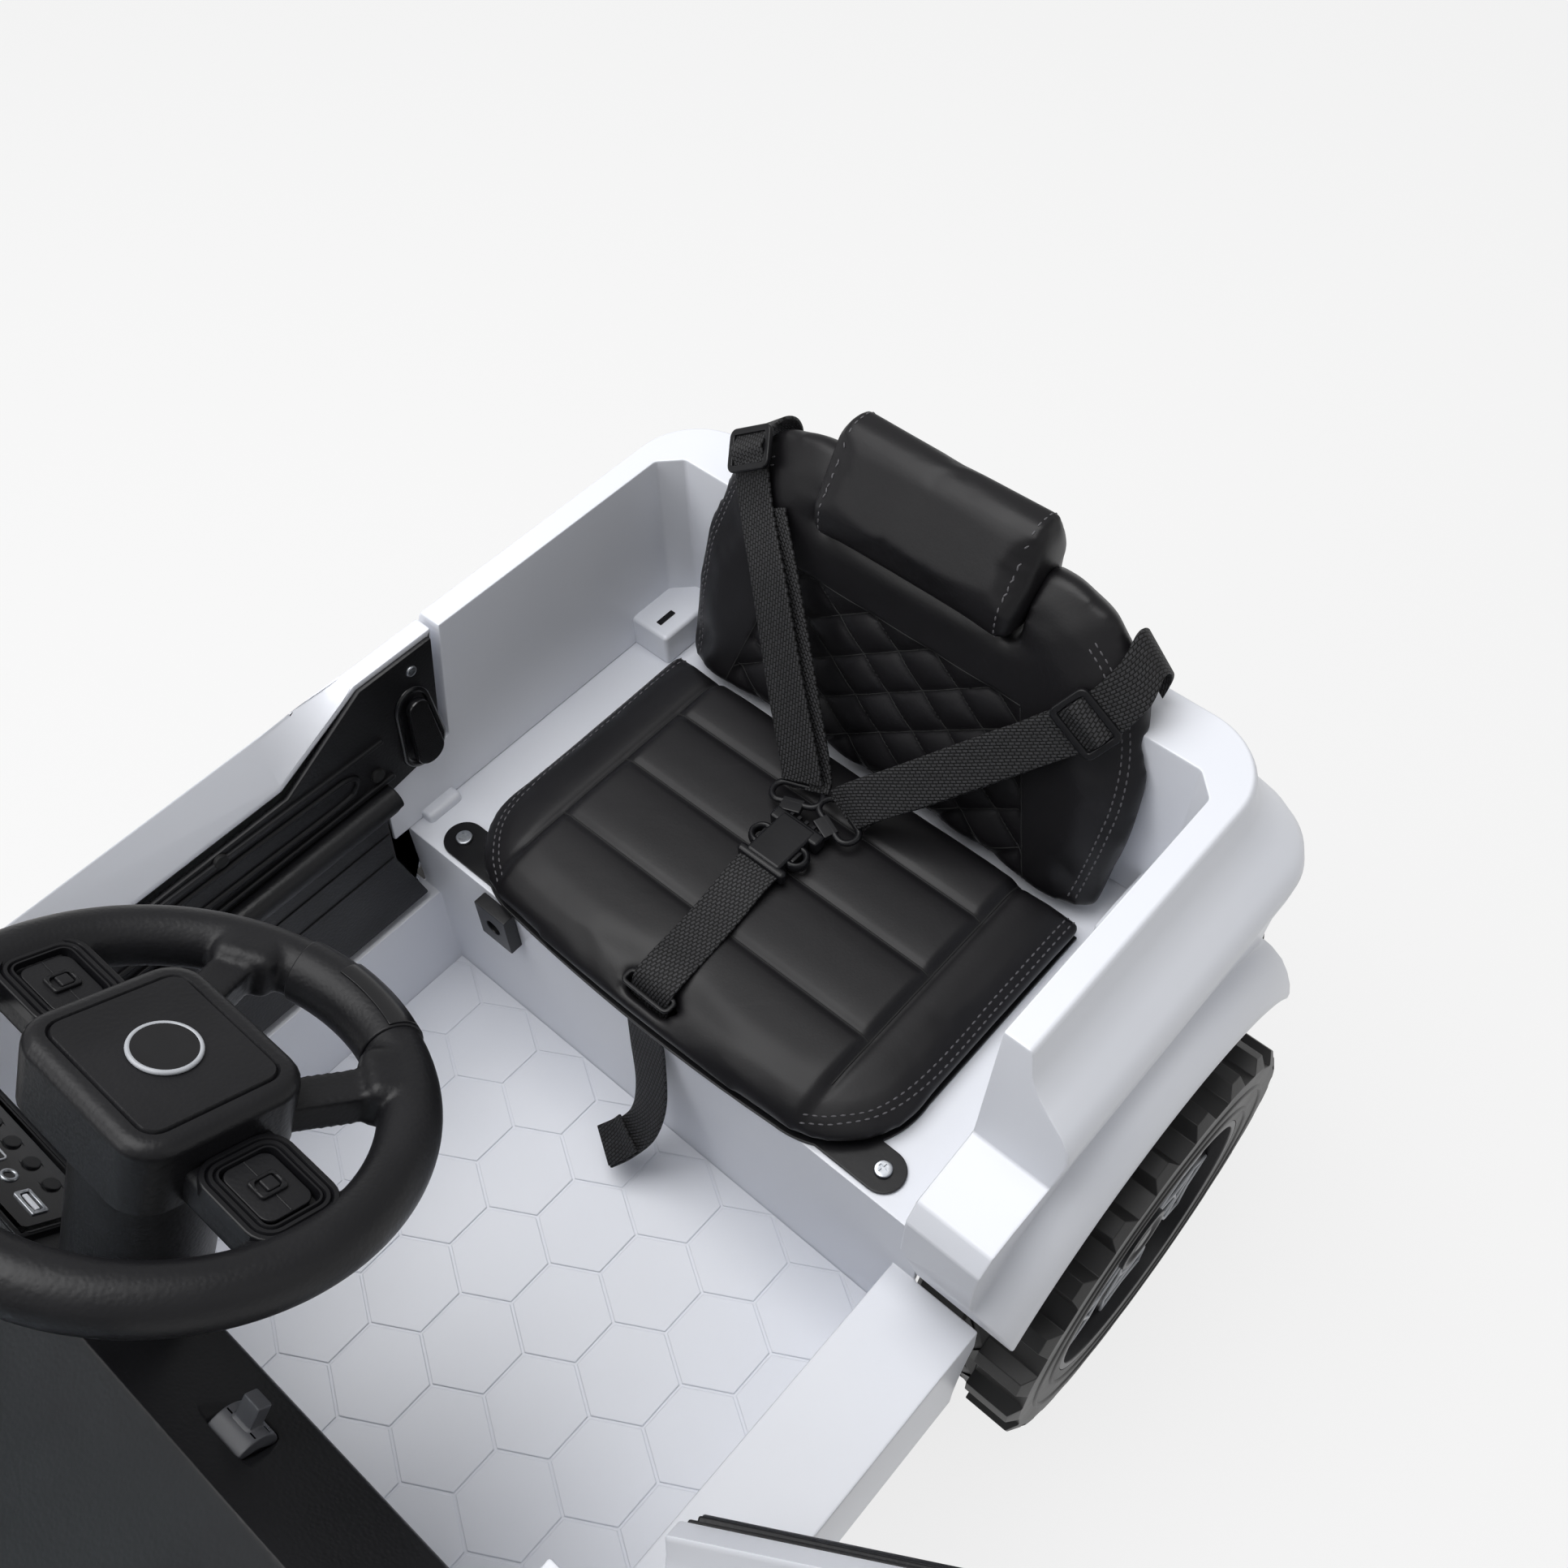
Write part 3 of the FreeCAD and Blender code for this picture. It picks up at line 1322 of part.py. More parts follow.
def seat_back():
    wires = []
    for depth_share, draw_share, crown_share in back_level_shares:
        inset = draw_share * back_draw + crown_share * back_crown_inset
        z = depth_share * back_thickness
        wires.append(polygon_wire([Vector(x, y, z) for x, y in back_outline(inset)]))
    pad = loft(wires)
    notch_half = headrest_half_width + headrest_gap
    notch = box(-notch_half, notch_half, headrest_notch, back_height + overrun, -overrun, back_thickness + overrun)
    pad = pad.cut(notch)
    low = back_height * quilt_bottom_share
    high = back_height * quilt_top_share
    face = back_thickness
    panel = [(-quilt_half_width, low), (quilt_half_width, low), (quilt_top_half_width, high),
             (-quilt_top_half_width, high)]
    window = prism_z(panel, 0, face + overrun)
    count = int(quilt_half_width / quilt_pitch) + 2
    angle = math.degrees(math.atan(quilt_slope))
    reach = quilt_half_width + back_height
    groove = prism_x([(-quilt_groove_width / 2, face + quilt_groove_width), (quilt_groove_width / 2, face + quilt_groove_width),
                      (0, face - quilt_groove_depth)], -reach, reach)
    for index in range(-count, count + 1):
        for way in (-1, 1):
            line = groove.copy()
            line.rotate(ORIGIN, Z_AXIS, way * angle)
            line.translate(Vector(index * quilt_pitch, (low + high) / 2, 0))
            pad = pad.cut(line.common(window))
    deck = box(-body_half_width, body_half_width, cabin_rear - fit_gap, rear_end + overrun, 0, rail_top + fit_gap)
    return back_place(pad).cut(deck)


def headrest():
    lean = math.radians(back_lean)
    overhang = headrest_depth / 5
    seat = headrest_notch * math.cos(lean) + back_thickness * math.sin(lean) + overhang * math.tan(lean)
    low = seat_box_top + back_lift + seat + headrest_gap
    front = seat_rear() + headrest_notch * math.tan(lean) - overhang
    points = [(front + y_share * headrest_depth, low + z_share * headrest_height)
              for y_share, z_share in headrest_shares]
    middle_y = sum(y for y, z in points) / len(points)
    middle_z = sum(z for y, z in points) / len(points)
    wires = []
    for x, draw in ((-headrest_half_width, 1), (headrest_draw - headrest_half_width, 0),
                    (headrest_half_width - headrest_draw, 0), (headrest_half_width, 1)):
        shrink = 1 - draw * 2 * headrest_draw / headrest_depth
        wires.append(polygon_wire([Vector(x, middle_y + (y - middle_y) * shrink,
                                          low + (z - low) * shrink) for y, z in points]))
    return loft(wires)


def ribbon(stations):
    """A flat strap through hand-placed stations of (middle, width way, face way)."""
    wires = []
    for middle, across, normal in stations:
        side = across * (web_width / 2)
        lift = normal * web_thickness
        wires.append(polygon_wire([middle - side, middle + side, middle + side + lift, middle - side + lift]))
    pieces = []
    for first, second in zip(wires, wires[1:]):
        untwisted = max(loft([first, second]), loft([second, first]), key=lambda piece: piece.Volume)
        pieces.append(untwisted)
    return fused(pieces)


def back_point(x, height, lift):
    """A point above the backrest's front plane, at a height up its slope."""
    lean = math.radians(back_lean)
    foot = Vector(0, back_foot_y(), seat_box_top + back_lift)
    up = Vector(0, math.sin(lean), math.cos(lean))
    out = Vector(0, -math.cos(lean), math.sin(lean))
    return foot + X_AXIS * x + up * height + out * (back_thickness + lift)


# Harness places: shares of the seat's half width, and heights above the backrest or cushion
strap_lift = 3.0
strap_top_lift = 5.5
strap_back_drop = 30.0
right_top_share = -0.75
left_top_share = 0.8
strap_tilt_share = 0.06
buckle_lead = 16.0
buckle_x = 2.0
buckle_lift = 10.0
tongue_spread = 15.0
right_slider_share = 0.1
left_slider_share = 0.22
strap_flat_share = 0.4


def buckle_place():
    return Vector(buckle_x, rear_y - buckle_lead, cushion_base() + cushion_height + buckle_lift)


def tongue_place(side):
    spread = Vector(side * tongue_spread, buckle_length / 2 + tongue_length, 0)
    return buckle_place() + spread


def top_height(share):
    """The backrest's top edge, up its slope, at a share of its half width."""
    points = sorted(back_shares, reverse=True)
    for (x1, h1), (x0, h0) in zip(points, points[1:]):
        if x0 <= abs(share) <= x1 and h0 > h1:
            return (h1 + (h0 - h1) * (x1 - abs(share)) / (x1 - x0)) * back_height
    return back_height


def strap_top(share):
    """Where a strap crosses the backrest's top edge: its middle up the slope, and its width way there."""
    inner = top_height(abs(share) - strap_tilt_share)
    outer = top_height(abs(share) + strap_tilt_share)
    lean = math.radians(back_lean)
    up = Vector(0, math.sin(lean), math.cos(lean))
    run = 2 * strap_tilt_share * seat_half_width
    across = (X_AXIS * run + up * ((outer - inner) * math.copysign(1, share))).normalize()
    return top_height(share) + strap_top_lift, across


def strap_run(share, side):
    """The straight run of a shoulder strap, from the backrest's top edge to its tongue."""
    high, across = strap_top(share)
    start = back_point(share * seat_half_width, high, strap_lift)
    end = tongue_place(side) + Z_AXIS * (tongue_bar + 3 * web_thickness)
    return start, end


def run_frame(share, side, width_way):
    """Along, across and facing directions of a shoulder strap's run, from the way its width lies."""
    start, end = strap_run(share, side)
    way = (end - start).normalize()
    across = (width_way - way * way.dot(width_way)).normalize()
    normal = across.cross(way)
    if normal.z < 0:
        normal = normal * -1
    return way, across, normal


def shoulder_strap(share, side):
    """From behind the backrest, over its top edge and down to its tongue."""
    x = share * seat_half_width
    lean = math.radians(back_lean)
    out = Vector(0, -math.cos(lean), math.sin(lean))
    high, tilt_way = strap_top(share)
    over = tilt_way.cross(out)
    if over.z < 0:
        over = over * -1
    behind = back_point(x, high - strap_back_drop, -back_thickness - strap_lift)
    over_back = back_point(x, high - back_draw, -back_thickness - strap_lift)
    over_front, end = strap_run(share, side)
    way, top_across, top_normal = run_frame(share, side, tilt_way)
    way, across, normal = run_frame(share, side, X_AXIS)
    flat = over_front + (end - over_front) * strap_flat_share
    corner = (over + out).normalize()
    rear_corner = (over - out).normalize()
    return ribbon([(behind, tilt_way, out * -1), (over_back, tilt_way, rear_corner), (over_front, tilt_way, corner),
                   (flat, top_across, top_normal), (end, across, normal)])


def crotch_strap():
    top = cushion_base() + cushion_height
    slot_y = rear_y - strap_slot_lead
    place = buckle_place()
    start = Vector(buckle_x, place.y - buckle_length / 2 - fit_gap, place.z)
    lay = Vector(strap_slot_x, slot_y + strap_slot_width * 3, top + strap_lift)
    mouth = Vector(strap_slot_x, slot_y, top - channel_depth)
    foot = Vector(strap_slot_x, slot_y, seat_box_top + fit_gap)
    up = Z_AXIS
    back = Vector(0, -1, 0)
    return ribbon([(start, X_AXIS, up), (lay, X_AXIS, up), (mouth, X_AXIS, Vector(0, -1, 1).normalize()),
                   (foot, X_AXIS, back)])


# The free tail of the crotch strap, from under the seat's front edge to the floor
tail_drop = 10.0
tail_swing = 24.0
tail_reach = 26.0
tail_curl = 30.0
tail_turn = 0.6


def strap_tail():
    x = strap_slot_x
    front = box_front - strap_lift
    top = Vector(x, front, seat_box_top - fit_gap)
    middle = Vector(x + tail_drop, front - tail_drop, (seat_box_top + floor_top) / 2)
    low = Vector(x, front - tail_reach, floor_top + tail_curl)
    end = Vector(x - tail_swing, front - tail_reach - tail_swing, floor_top + strap_lift)
    turned = Vector(math.cos(tail_turn), -math.sin(tail_turn), 0)
    forward = Vector(0, -1, 0)
    slanted = Vector(0, -1, 1).normalize()
    return ribbon([(top, X_AXIS, forward), (middle, X_AXIS, forward), (low, turned, forward),
                   (end, turned, slanted)])


def strap_sliders():
    frames = []
    for share, side, place_share in ((right_top_share, -1, right_slider_share), (left_top_share, 1, left_slider_share)):
        start, end = strap_run(share, side)
        way, across, normal = run_frame(share, side, strap_top(share)[1])
        middle = start + (end - start) * place_share
        half_w = web_width / 2 + slider_frame
        half_l = slider_length / 2
        base = middle + normal * (web_thickness + fit_gap)

        def sheet(width, length, lift, height):
            corners = [base + normal * lift + across * (sx * width) + way * (sy * length)
                       for sx, sy in ((-1, -1), (1, -1), (1, 1), (-1, 1))]
            return face_of(corners).extrude(normal * height)

        frame = sheet(half_w, half_l, 0, slider_thickness)
        frame = frame.cut(sheet(half_w - slider_frame, half_l - slider_frame, -overrun, 2 * overrun))
        bar = sheet(half_w, slider_frame / 2, 0, slider_thickness)
        frames.append(fused([frame, bar]))
    return Part.makeCompound(frames)


def buckle_body():
    place = buckle_place()
    half_w = buckle_width / 2
    half_l = buckle_length / 2
    low = place.z - buckle_thickness / 2
    high = place.z + buckle_thickness / 2
    waist = half_w * 4 / 5
    outline = [(-waist, -half_l), (waist, -half_l), (half_w, -half_l / 2), (waist, 0), (half_w, half_l / 2),
               (half_w, half_l), (-half_w, half_l), (-half_w, half_l / 2), (-waist, 0), (-half_w, -half_l / 2)]
    block = prism_z([(place.x + x, place.y + y) for x, y in outline], low, high)
    return block


def buckle_tongues():
    loops = []
    for side in (-1, 1):
        place = tongue_place(side)
        low = place.z - tongue_bar / 2
        high = place.z + tongue_bar / 2
        half = tongue_width / 2
        shift = side * fit_gap
        x0 = buckle_x + shift if side > 0 else buckle_x + shift - tongue_width
        rear = place.y + tongue_frame
        front = place.y - tongue_length + fit_gap
        frame = box(x0, x0 + tongue_width, front, rear, low, high)
        window = box(x0 + tongue_frame, x0 + 2 * half - tongue_frame, front + tongue_frame, rear - tongue_frame,
                     low - overrun, high + overrun)
        loops.append(frame.cut(window))
    return Part.makeCompound(loops)


def door_section(y, inset, top_share):
    """The left door's outline from its bottom inner edge round its skin to its inner lip."""
    low = sill_top + door_bottom_gap
    rise = rail_top - shoulder_base
    foot = body_half_width - panel_gap / 2 - waist_shares[0][1] * (body_half_width - rail_half_width) - inset
    points = [(door_lip_inner, low + inset), (foot, low + inset)]
    drop = (1 - top_share) * door_top_drop
    brow = shoulder_shares[-2][0]
    hollow_drop = door_hollow_drop_share * drop if inset else 0
    for rise_share, inset_share in shoulder_shares:
        x = body_half_width - panel_gap / 2 - inset_share * (body_half_width - rail_half_width) - inset
        z = shoulder_base + rise_share * rise - (inset if rise_share == 1 else 0)
        points.append((x, z - (hollow_drop if rise_share >= brow else 0)))
    lip = rail_top - drop - inset
    points.append((door_lip_inner + inset, lip))
    points.append((door_lip_inner - (inset if inset else 0), lip - (inset if inset else door_bottom_gap)))
    if inset:
        points[0] = (door_lip_inner - inset, low + inset)
    return polygon_wire([Vector(x, y, z) for x, z in points])


def door_span():
    front = a_pillar + door_front_gap
    rear = jamb_line(-panel_gap)[0][0]
    return front, rear


def door_solid(inset):
    front, rear = door_span()
    length = rear - front
    stations = [(front + inset, 0), (front + trim_slope_share * length, 0), (front + trim_rear_share * length, 1),
                (rear + overrun, 1)]
    return loft([door_section(y, inset, share) for y, share in stations])


def ahead_of_jamb(shift):
    line = jamb_line(shift)
    outline = [(line[0][0], rail_top + overrun)] + line + [(line[-1][0], 0), (front_end, 0),
                                                          (front_end, rail_top + overrun)]
    return prism_x(outline, -body_half_width - overrun, body_half_width + overrun)


def closed_door_shell():
    shell = door_solid(0).common(ahead_of_jamb(-panel_gap))
    shell = shell.cut(door_solid(wall).common(ahead_of_jamb(-panel_gap - wall)))
    place = hinge_place()
    front, rear = door_span()
    for level in hinge_levels():
        notch_foot = place + Z_AXIS * (level - hinge_ear - 2 * fit_gap)
        shell = shell.cut(rod(notch_foot, place + Z_AXIS * level, hinge_radius + wall))
    parts = [shell]
    for level in hinge_levels():
        low = place + Z_AXIS * level
        high = low + Z_AXIS * hinge_knuckle
        peg_end = low - Z_AXIS * (hinge_ear + fit_gap)
        parts.append(rod(low, high, hinge_radius))
        parts.append(box(hinge_x - hinge_radius, hinge_x + hinge_radius / 2, place.y, front + wall / 2, low.z, high.z))
        parts.append(rod(peg_end, high, hinge_peg_radius))
    handle_y = front + handle_place_share * (rear - front)
    skin = body_half_width - panel_gap / 2
    grip = box(skin - wall, skin + handle_depth, handle_y, handle_y + handle_length, shoulder_base - handle_height,
               shoulder_base)
    hollow = box(skin - overrun, skin + handle_depth / 2, handle_y + wall, handle_y + handle_length - wall, 0,
                 shoulder_base - wall)
    hollow = hollow.cut(box(0, skin, handle_y - overrun, handle_y + handle_length + overrun, 0, rail_top))
    parts.append(grip.cut(hollow))
    return fused(parts)


def trim_outline():
    """The trim seen from the side: high behind the latch and lower along the front."""
    front, rear = door_span()
    length = rear - front
    low = sill_top + door_bottom_gap
    high = rail_top - trim_margin
    drop = rail_top - door_top_drop - trim_margin - door_bottom_gap
    return [(front + trim_margin, low), (rear + overrun, low), (rear + overrun, high),
            (front + trim_rear_share * length, high), (front + trim_slope_share * length, drop),
            (front + trim_margin, drop)]


def latch_place():
    return Vector(door_lip_inner - trim_thickness, rear_y - latch_offset, latch_level)


def closed_door_trim():
    inner = door_lip_inner - trim_thickness
    panel = prism_x(trim_outline(), inner, door_lip_inner).common(ahead_of_jamb(-panel_gap - trim_margin))
    front, rear = door_span()
    y0 = front + trim_margin
    y1 = front + roll_rear_share * (rear - front)
    low = sill_top + door_bottom_gap
    level = low + roll_level_share * (rail_top - low)
    apron = box(inner - apron_depth, inner, y0, y1, low, level)
    roll = rod(Vector(inner - roll_inset, y0, level), Vector(inner - roll_inset, y1, level), roll_radius)
    roll = roll.common(box(0, inner, y0, y1, low, rail_top))
    bulge = apron.fuse(roll).common(ahead_of_jamb(-panel_gap - trim_margin))
    hollow = box(inner - apron_depth + apron_wall, door_lip_inner + overrun, y0 + apron_wall, y1 - apron_wall, low + apron_wall,
                 level - apron_wall)
    hollow = hollow.common(ahead_of_jamb(-panel_gap - trim_margin - apron_wall))
    panel = fused([panel, bulge]).cut(hollow)
    place = latch_place()
    hole = rod(place - X_AXIS * overrun, place + X_AXIS * overrun, latch_pin_radius + run_gap)
    return panel.cut(hole)


def closed_latch():
    """A teardrop lever on the trim, upright, that turns on its pin."""
    place = latch_place()
    x1 = place.x - fit_gap
    x0 = x1 - latch_thickness
    foot = Vector(0, place.y, place.z)
    tip = foot + Z_AXIS * latch_length
    parts = [rod(foot + X_AXIS * x0, foot + X_AXIS * x1, latch_radius),
             rod(tip + X_AXIS * x0, tip + X_AXIS * x1, latch_tip_radius)]
    web = [(foot.y - latch_radius, foot.z), (foot.y + latch_radius, foot.z), (tip.y + latch_tip_radius, tip.z),
           (tip.y - latch_tip_radius, tip.z)]
    parts.append(prism_x(web, x0, x1))
    parts.append(rod(foot + X_AXIS * x0, foot + X_AXIS * (place.x + trim_thickness), latch_pin_radius))
    return fused(parts)


def opened(shape):
    copy = shape.copy()
    copy.rotate(hinge_place(), Z_AXIS, -door_open_angle)
    return copy


def pedal():
    hinge = pedal_hinge()
    half = pedal_width / 2
    plate = box(-half, half, -pedal_length, 0, -pedal_thickness / 2, pedal_thickness / 2)
    eye = rod(Vector(-half, 0, 0), Vector(half, 0, 0), pedal_ear_radius - fit_gap)
    reach = half + pedal_pin_length
    pin = rod(Vector(-reach, 0, 0), Vector(reach, 0, 0), pedal_pin_radius)
    ribs = []
    for index in range(4):
        y = -pedal_length * (index + 1) / 5
        ribs.append(box(-half + pedal_thickness, half - pedal_thickness, y - pedal_thickness / 4, y + pedal_thickness / 4,
                        0, pedal_thickness))
    shape = fused([plate, eye, pin] + ribs)
    shape.rotate(ORIGIN, X_AXIS, -pedal_tilt)
    shape.translate(hinge)
    return shape


def build():
    nodes = {
        "floor_tub": floor_tub(),
        "rear_body": rear_body(),
        "front_body": front_body(),
        "hood_panel": hood_panel(),
        "grille": grille(),
        "front_bumper": front_bumper(),
        "rear_bumper": rear_bumper(),
        "headlights": headlights(),
        "tail_lights": tail_lights(),
        "windscreen_frame": windscreen_frame(),
        "windscreen_pane": windscreen_pane(),
        "dashboard": dashboard(),
        "radio_panel": radio_panel(),
        "radio_keys": radio_keys(),
        "drive_selector": drive_selector(),
        "steering_rim": steering_rim(),
        "steering_hub_cover": hub_cover(),
        "steering_column": steering_column(),
        "horn_button_left": horn_button(1),
        "horn_button_right": horn_button(-1),
        "tie_rod": tie_rod(),
        "front_axle_beam": front_axle_beam(),
        "rear_axle": rear_axle(),
        "battery": battery(),
        "control_box": control_box(),
        "charge_socket": charge_socket(),
        "seat_base": seat_base(),
        "seat_screws": seat_screws(),
        "seat_cushion": seat_cushion(),
        "seat_back": seat_back(),
        "headrest": headrest(),
        "shoulder_strap_right": shoulder_strap(right_top_share, -1),
        "shoulder_strap_left": shoulder_strap(left_top_share, 1),
        "crotch_strap": Part.makeCompound([crotch_strap(), strap_tail()]),
        "strap_sliders": strap_sliders(),
        "buckle_body": buckle_body(),
        "buckle_tongues": buckle_tongues(),
        "pedal": pedal(),
    }
    for name, side, y in (("front_left", 1, front_y), ("front_right", -1, front_y),
                          ("rear_left", 1, rear_y), ("rear_right", -1, rear_y)):
        nodes["tyre_" + name] = tyre(side * wheel_x, y)
        nodes["hub_" + name] = hub(side, y)
    pairs = {"knuckle": knuckle_left(), "gear_motor": gear_motor_left(), "drive_gear": drive_gear_left(),
             "motor_pinion": motor_pinion_left()}
    for name, shape in pairs.items():
        nodes[name + "_left"] = shape
        nodes[name + "_right"] = mirrored(shape)
    doors = {"door_shell": closed_door_shell(), "door_trim": closed_door_trim(), "door_latch": closed_latch()}
    for name, shape in doors.items():
        nodes[name + "_left"] = opened(shape)
        nodes[name + "_right"] = mirrored(shape)
    return nodes


os.makedirs("parts", exist_ok=True)
for node_name, node_shape in build().items():
    node_shape.exportStep("parts/" + node_name + ".step")
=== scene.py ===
import bpy
import json
import math
from mathutils import Matrix, Vector

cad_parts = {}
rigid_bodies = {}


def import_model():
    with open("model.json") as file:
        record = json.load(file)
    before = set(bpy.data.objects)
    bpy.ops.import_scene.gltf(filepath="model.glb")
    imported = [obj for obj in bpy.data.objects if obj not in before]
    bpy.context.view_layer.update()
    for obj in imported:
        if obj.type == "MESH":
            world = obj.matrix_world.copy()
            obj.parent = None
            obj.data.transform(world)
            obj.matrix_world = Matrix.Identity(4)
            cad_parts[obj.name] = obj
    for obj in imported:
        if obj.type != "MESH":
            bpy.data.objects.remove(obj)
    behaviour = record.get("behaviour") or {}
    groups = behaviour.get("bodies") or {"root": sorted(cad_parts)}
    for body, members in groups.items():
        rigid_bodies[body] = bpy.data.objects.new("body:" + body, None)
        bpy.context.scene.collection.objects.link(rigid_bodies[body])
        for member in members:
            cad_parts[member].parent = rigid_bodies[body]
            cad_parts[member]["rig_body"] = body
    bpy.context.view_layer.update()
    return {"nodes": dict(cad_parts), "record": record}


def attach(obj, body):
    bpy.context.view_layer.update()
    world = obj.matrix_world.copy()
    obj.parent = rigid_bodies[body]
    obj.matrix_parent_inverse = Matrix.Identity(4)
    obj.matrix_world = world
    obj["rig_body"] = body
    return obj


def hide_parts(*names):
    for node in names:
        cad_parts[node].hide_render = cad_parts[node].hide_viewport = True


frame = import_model()
scene = bpy.context.scene
mm = 0.001
merge_gap = 0.02


# Small tools

def linear(code):
    """An sRGB hex colour as linear RGBA."""
    parts = [int(code[i:i + 2], 16) / 255 for i in (1, 3, 5)]
    return [c / 12.92 if c <= 0.04045 else ((c + 0.055) / 1.055) ** 2.4 for c in parts] + [1]


def node(tree, kind, inputs=None, **settings):
    """Adds one shader node with its settings, values and links."""
    made = tree.nodes.new("ShaderNode" + kind)
    for key, value in settings.items():
        setattr(made, key, value)
    for key, value in (inputs or {}).items():
        if isinstance(value, bpy.types.NodeSocket):
            tree.links.new(value, made.inputs[key])
        else:
            made.inputs[key].default_value = value
    return made


def surface(name, **values):
    """A material with only its shader and output."""
    made = bpy.data.materials.new(name)
    made.use_nodes = True
    shader = made.node_tree.nodes["Principled BSDF"]
    for key, value in values.items():
        shader.inputs[key.replace("_", " ")].default_value = value
    return made, made.node_tree, shader


def alone(piece):
    """Makes a piece the active one and the only one selected."""
    bpy.ops.object.select_all(action="DESELECT")
    piece.select_set(True)
    bpy.context.view_layer.objects.active = piece
    return piece


def start(name, add, **how):
    """A new piece from a primitive, alone in the selection."""
    bpy.ops.object.select_all(action="DESELECT")
    add(**how)
    piece = bpy.context.object
    piece.name = name
    bpy.ops.object.transform_apply(location=True, rotation=True, scale=True)
    return piece


def pick(piece, test, part="FACE"):
    """Edit mode with only the faces, or corners, that pass the test selected."""
    alone(piece)
    bpy.ops.object.mode_set(mode="EDIT")
    bpy.ops.mesh.select_mode(type=part)
    bpy.ops.mesh.select_all(action="DESELECT")
    bpy.ops.object.mode_set(mode="OBJECT")
    if part == "FACE":
        for face in piece.data.polygons:
            face.select = test(face.center, face.normal)
    else:
        for corner in piece.data.vertices:
            corner.select = test(corner.co)
    bpy.ops.object.mode_set(mode="EDIT")


def done_editing():
    bpy.ops.object.mode_set(mode="OBJECT")


def edit_all(piece):
    """Edit mode with all of a piece selected."""
    alone(piece)
    bpy.ops.object.mode_set(mode="EDIT")
    bpy.ops.mesh.select_all(action="SELECT")


def cut_off(piece, spot, way):
    """Cuts away what lies beyond a plane, and closes the cut."""
    edit_all(piece)
    bpy.ops.mesh.bisect(plane_co=Vector(spot) * mm, plane_no=way, clear_outer=True, use_fill=True)
    done_editing()


def shaped(piece, kind, **settings):
    """Adds a modifier and applies it."""
    alone(piece)
    made = piece.modifiers.new(kind.lower(), kind)
    for key, value in settings.items():
        setattr(made, key, value)
    bpy.ops.object.modifier_apply(modifier=made.name)
    return piece


def rounded(piece, edge, steps=2, sharp=32):
    """Rounds the sharp edges as a mould leaves them."""
    shaped(piece, "BEVEL", width=edge * mm, segments=steps, limit_method="ANGLE",
           angle_limit=math.radians(sharp), use_clamp_overlap=False, miter_outer="MITER_ARC")
    bpy.ops.object.shade_smooth_by_angle(angle=math.radians(38))
    return shaped(piece, "WEIGHTED_NORMAL", keep_sharp=True)


def taken(name, source):
    """A merged copy of a solid, to be shaped further."""
    piece = frame["nodes"][source].copy()
    piece.data = piece.data.copy()
    piece.name = name
    for key in list(piece.keys()):
        del piece[key]
    piece.parent = None
    scene.collection.objects.link(piece)
    alone(piece)
    bpy.ops.mesh.customdata_custom_splitnormals_clear()
    edit_all(piece)
    bpy.ops.mesh.remove_doubles(threshold=merge_gap * mm)
    done_editing()
    return piece


def dressed(piece, body, slot, finish, *stands_for):
    """Gives a finished piece its material and its body, and hides the solids that it stands for."""
    piece.data.materials.clear()
    piece.data.materials.append(finish)
    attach(piece, body)
    if stands_for:
        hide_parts(*stands_for)
    return piece


def joined(name, pieces):
    """Several pieces as one, which is the first of them."""
    bpy.ops.object.select_all(action="DESELECT")
    for piece in pieces:
        piece.select_set(True)
    bpy.context.view_layer.objects.active = pieces[0]
    bpy.ops.object.join()
    pieces[0].name = name
    return pieces[0]


def copied(piece, name, matrix):
    """A copy with its own mesh, set down by a matrix that goes into the mesh."""
    twin = piece.copy()
    twin.data = piece.data.copy()
    twin.name = name
    scene.collection.objects.link(twin)
    twin.data.transform(matrix)
    return twin


def body_of(source):
    """The body that a solid rides on."""
    return frame["nodes"][source]["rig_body"]


# Finishes

def gloss_white_plastic():
    """Blow-moulded gloss polypropylene: cool white with a faint ripple that softens its broad highlights."""
    made, tree, shader = surface("gloss_white_plastic", IOR=1.49)
    place = node(tree, "TexCoord").outputs["Object"]
    patch = node(tree, "TexNoise", {"Vector": place, "Scale": 1 / (90 * mm), "Detail": 2.0})
    tone = node(tree, "Mix", {0: patch.outputs["Fac"], 6: linear("#DFE2EA"), 7: linear("#E6E8EE")},
                data_type="RGBA")
    tree.links.new(tone.outputs[2], shader.inputs["Base Color"])
    haze = node(tree, "MapRange", {"Value": patch.outputs["Fac"], "To Min": 0.27, "To Max": 0.4})
    tree.links.new(haze.outputs["Result"], shader.inputs["Roughness"])
    ripple = node(tree, "TexNoise", {"Vector": place, "Scale": 1 / (14 * mm), "Detail": 3.0})
    bump = node(tree, "Bump", {"Height": ripple.outputs["Fac"], "Strength": 0.05, "Distance": 1.0 * mm})
    tree.links.new(bump.outputs["Normal"], shader.inputs["Normal"])
    return made


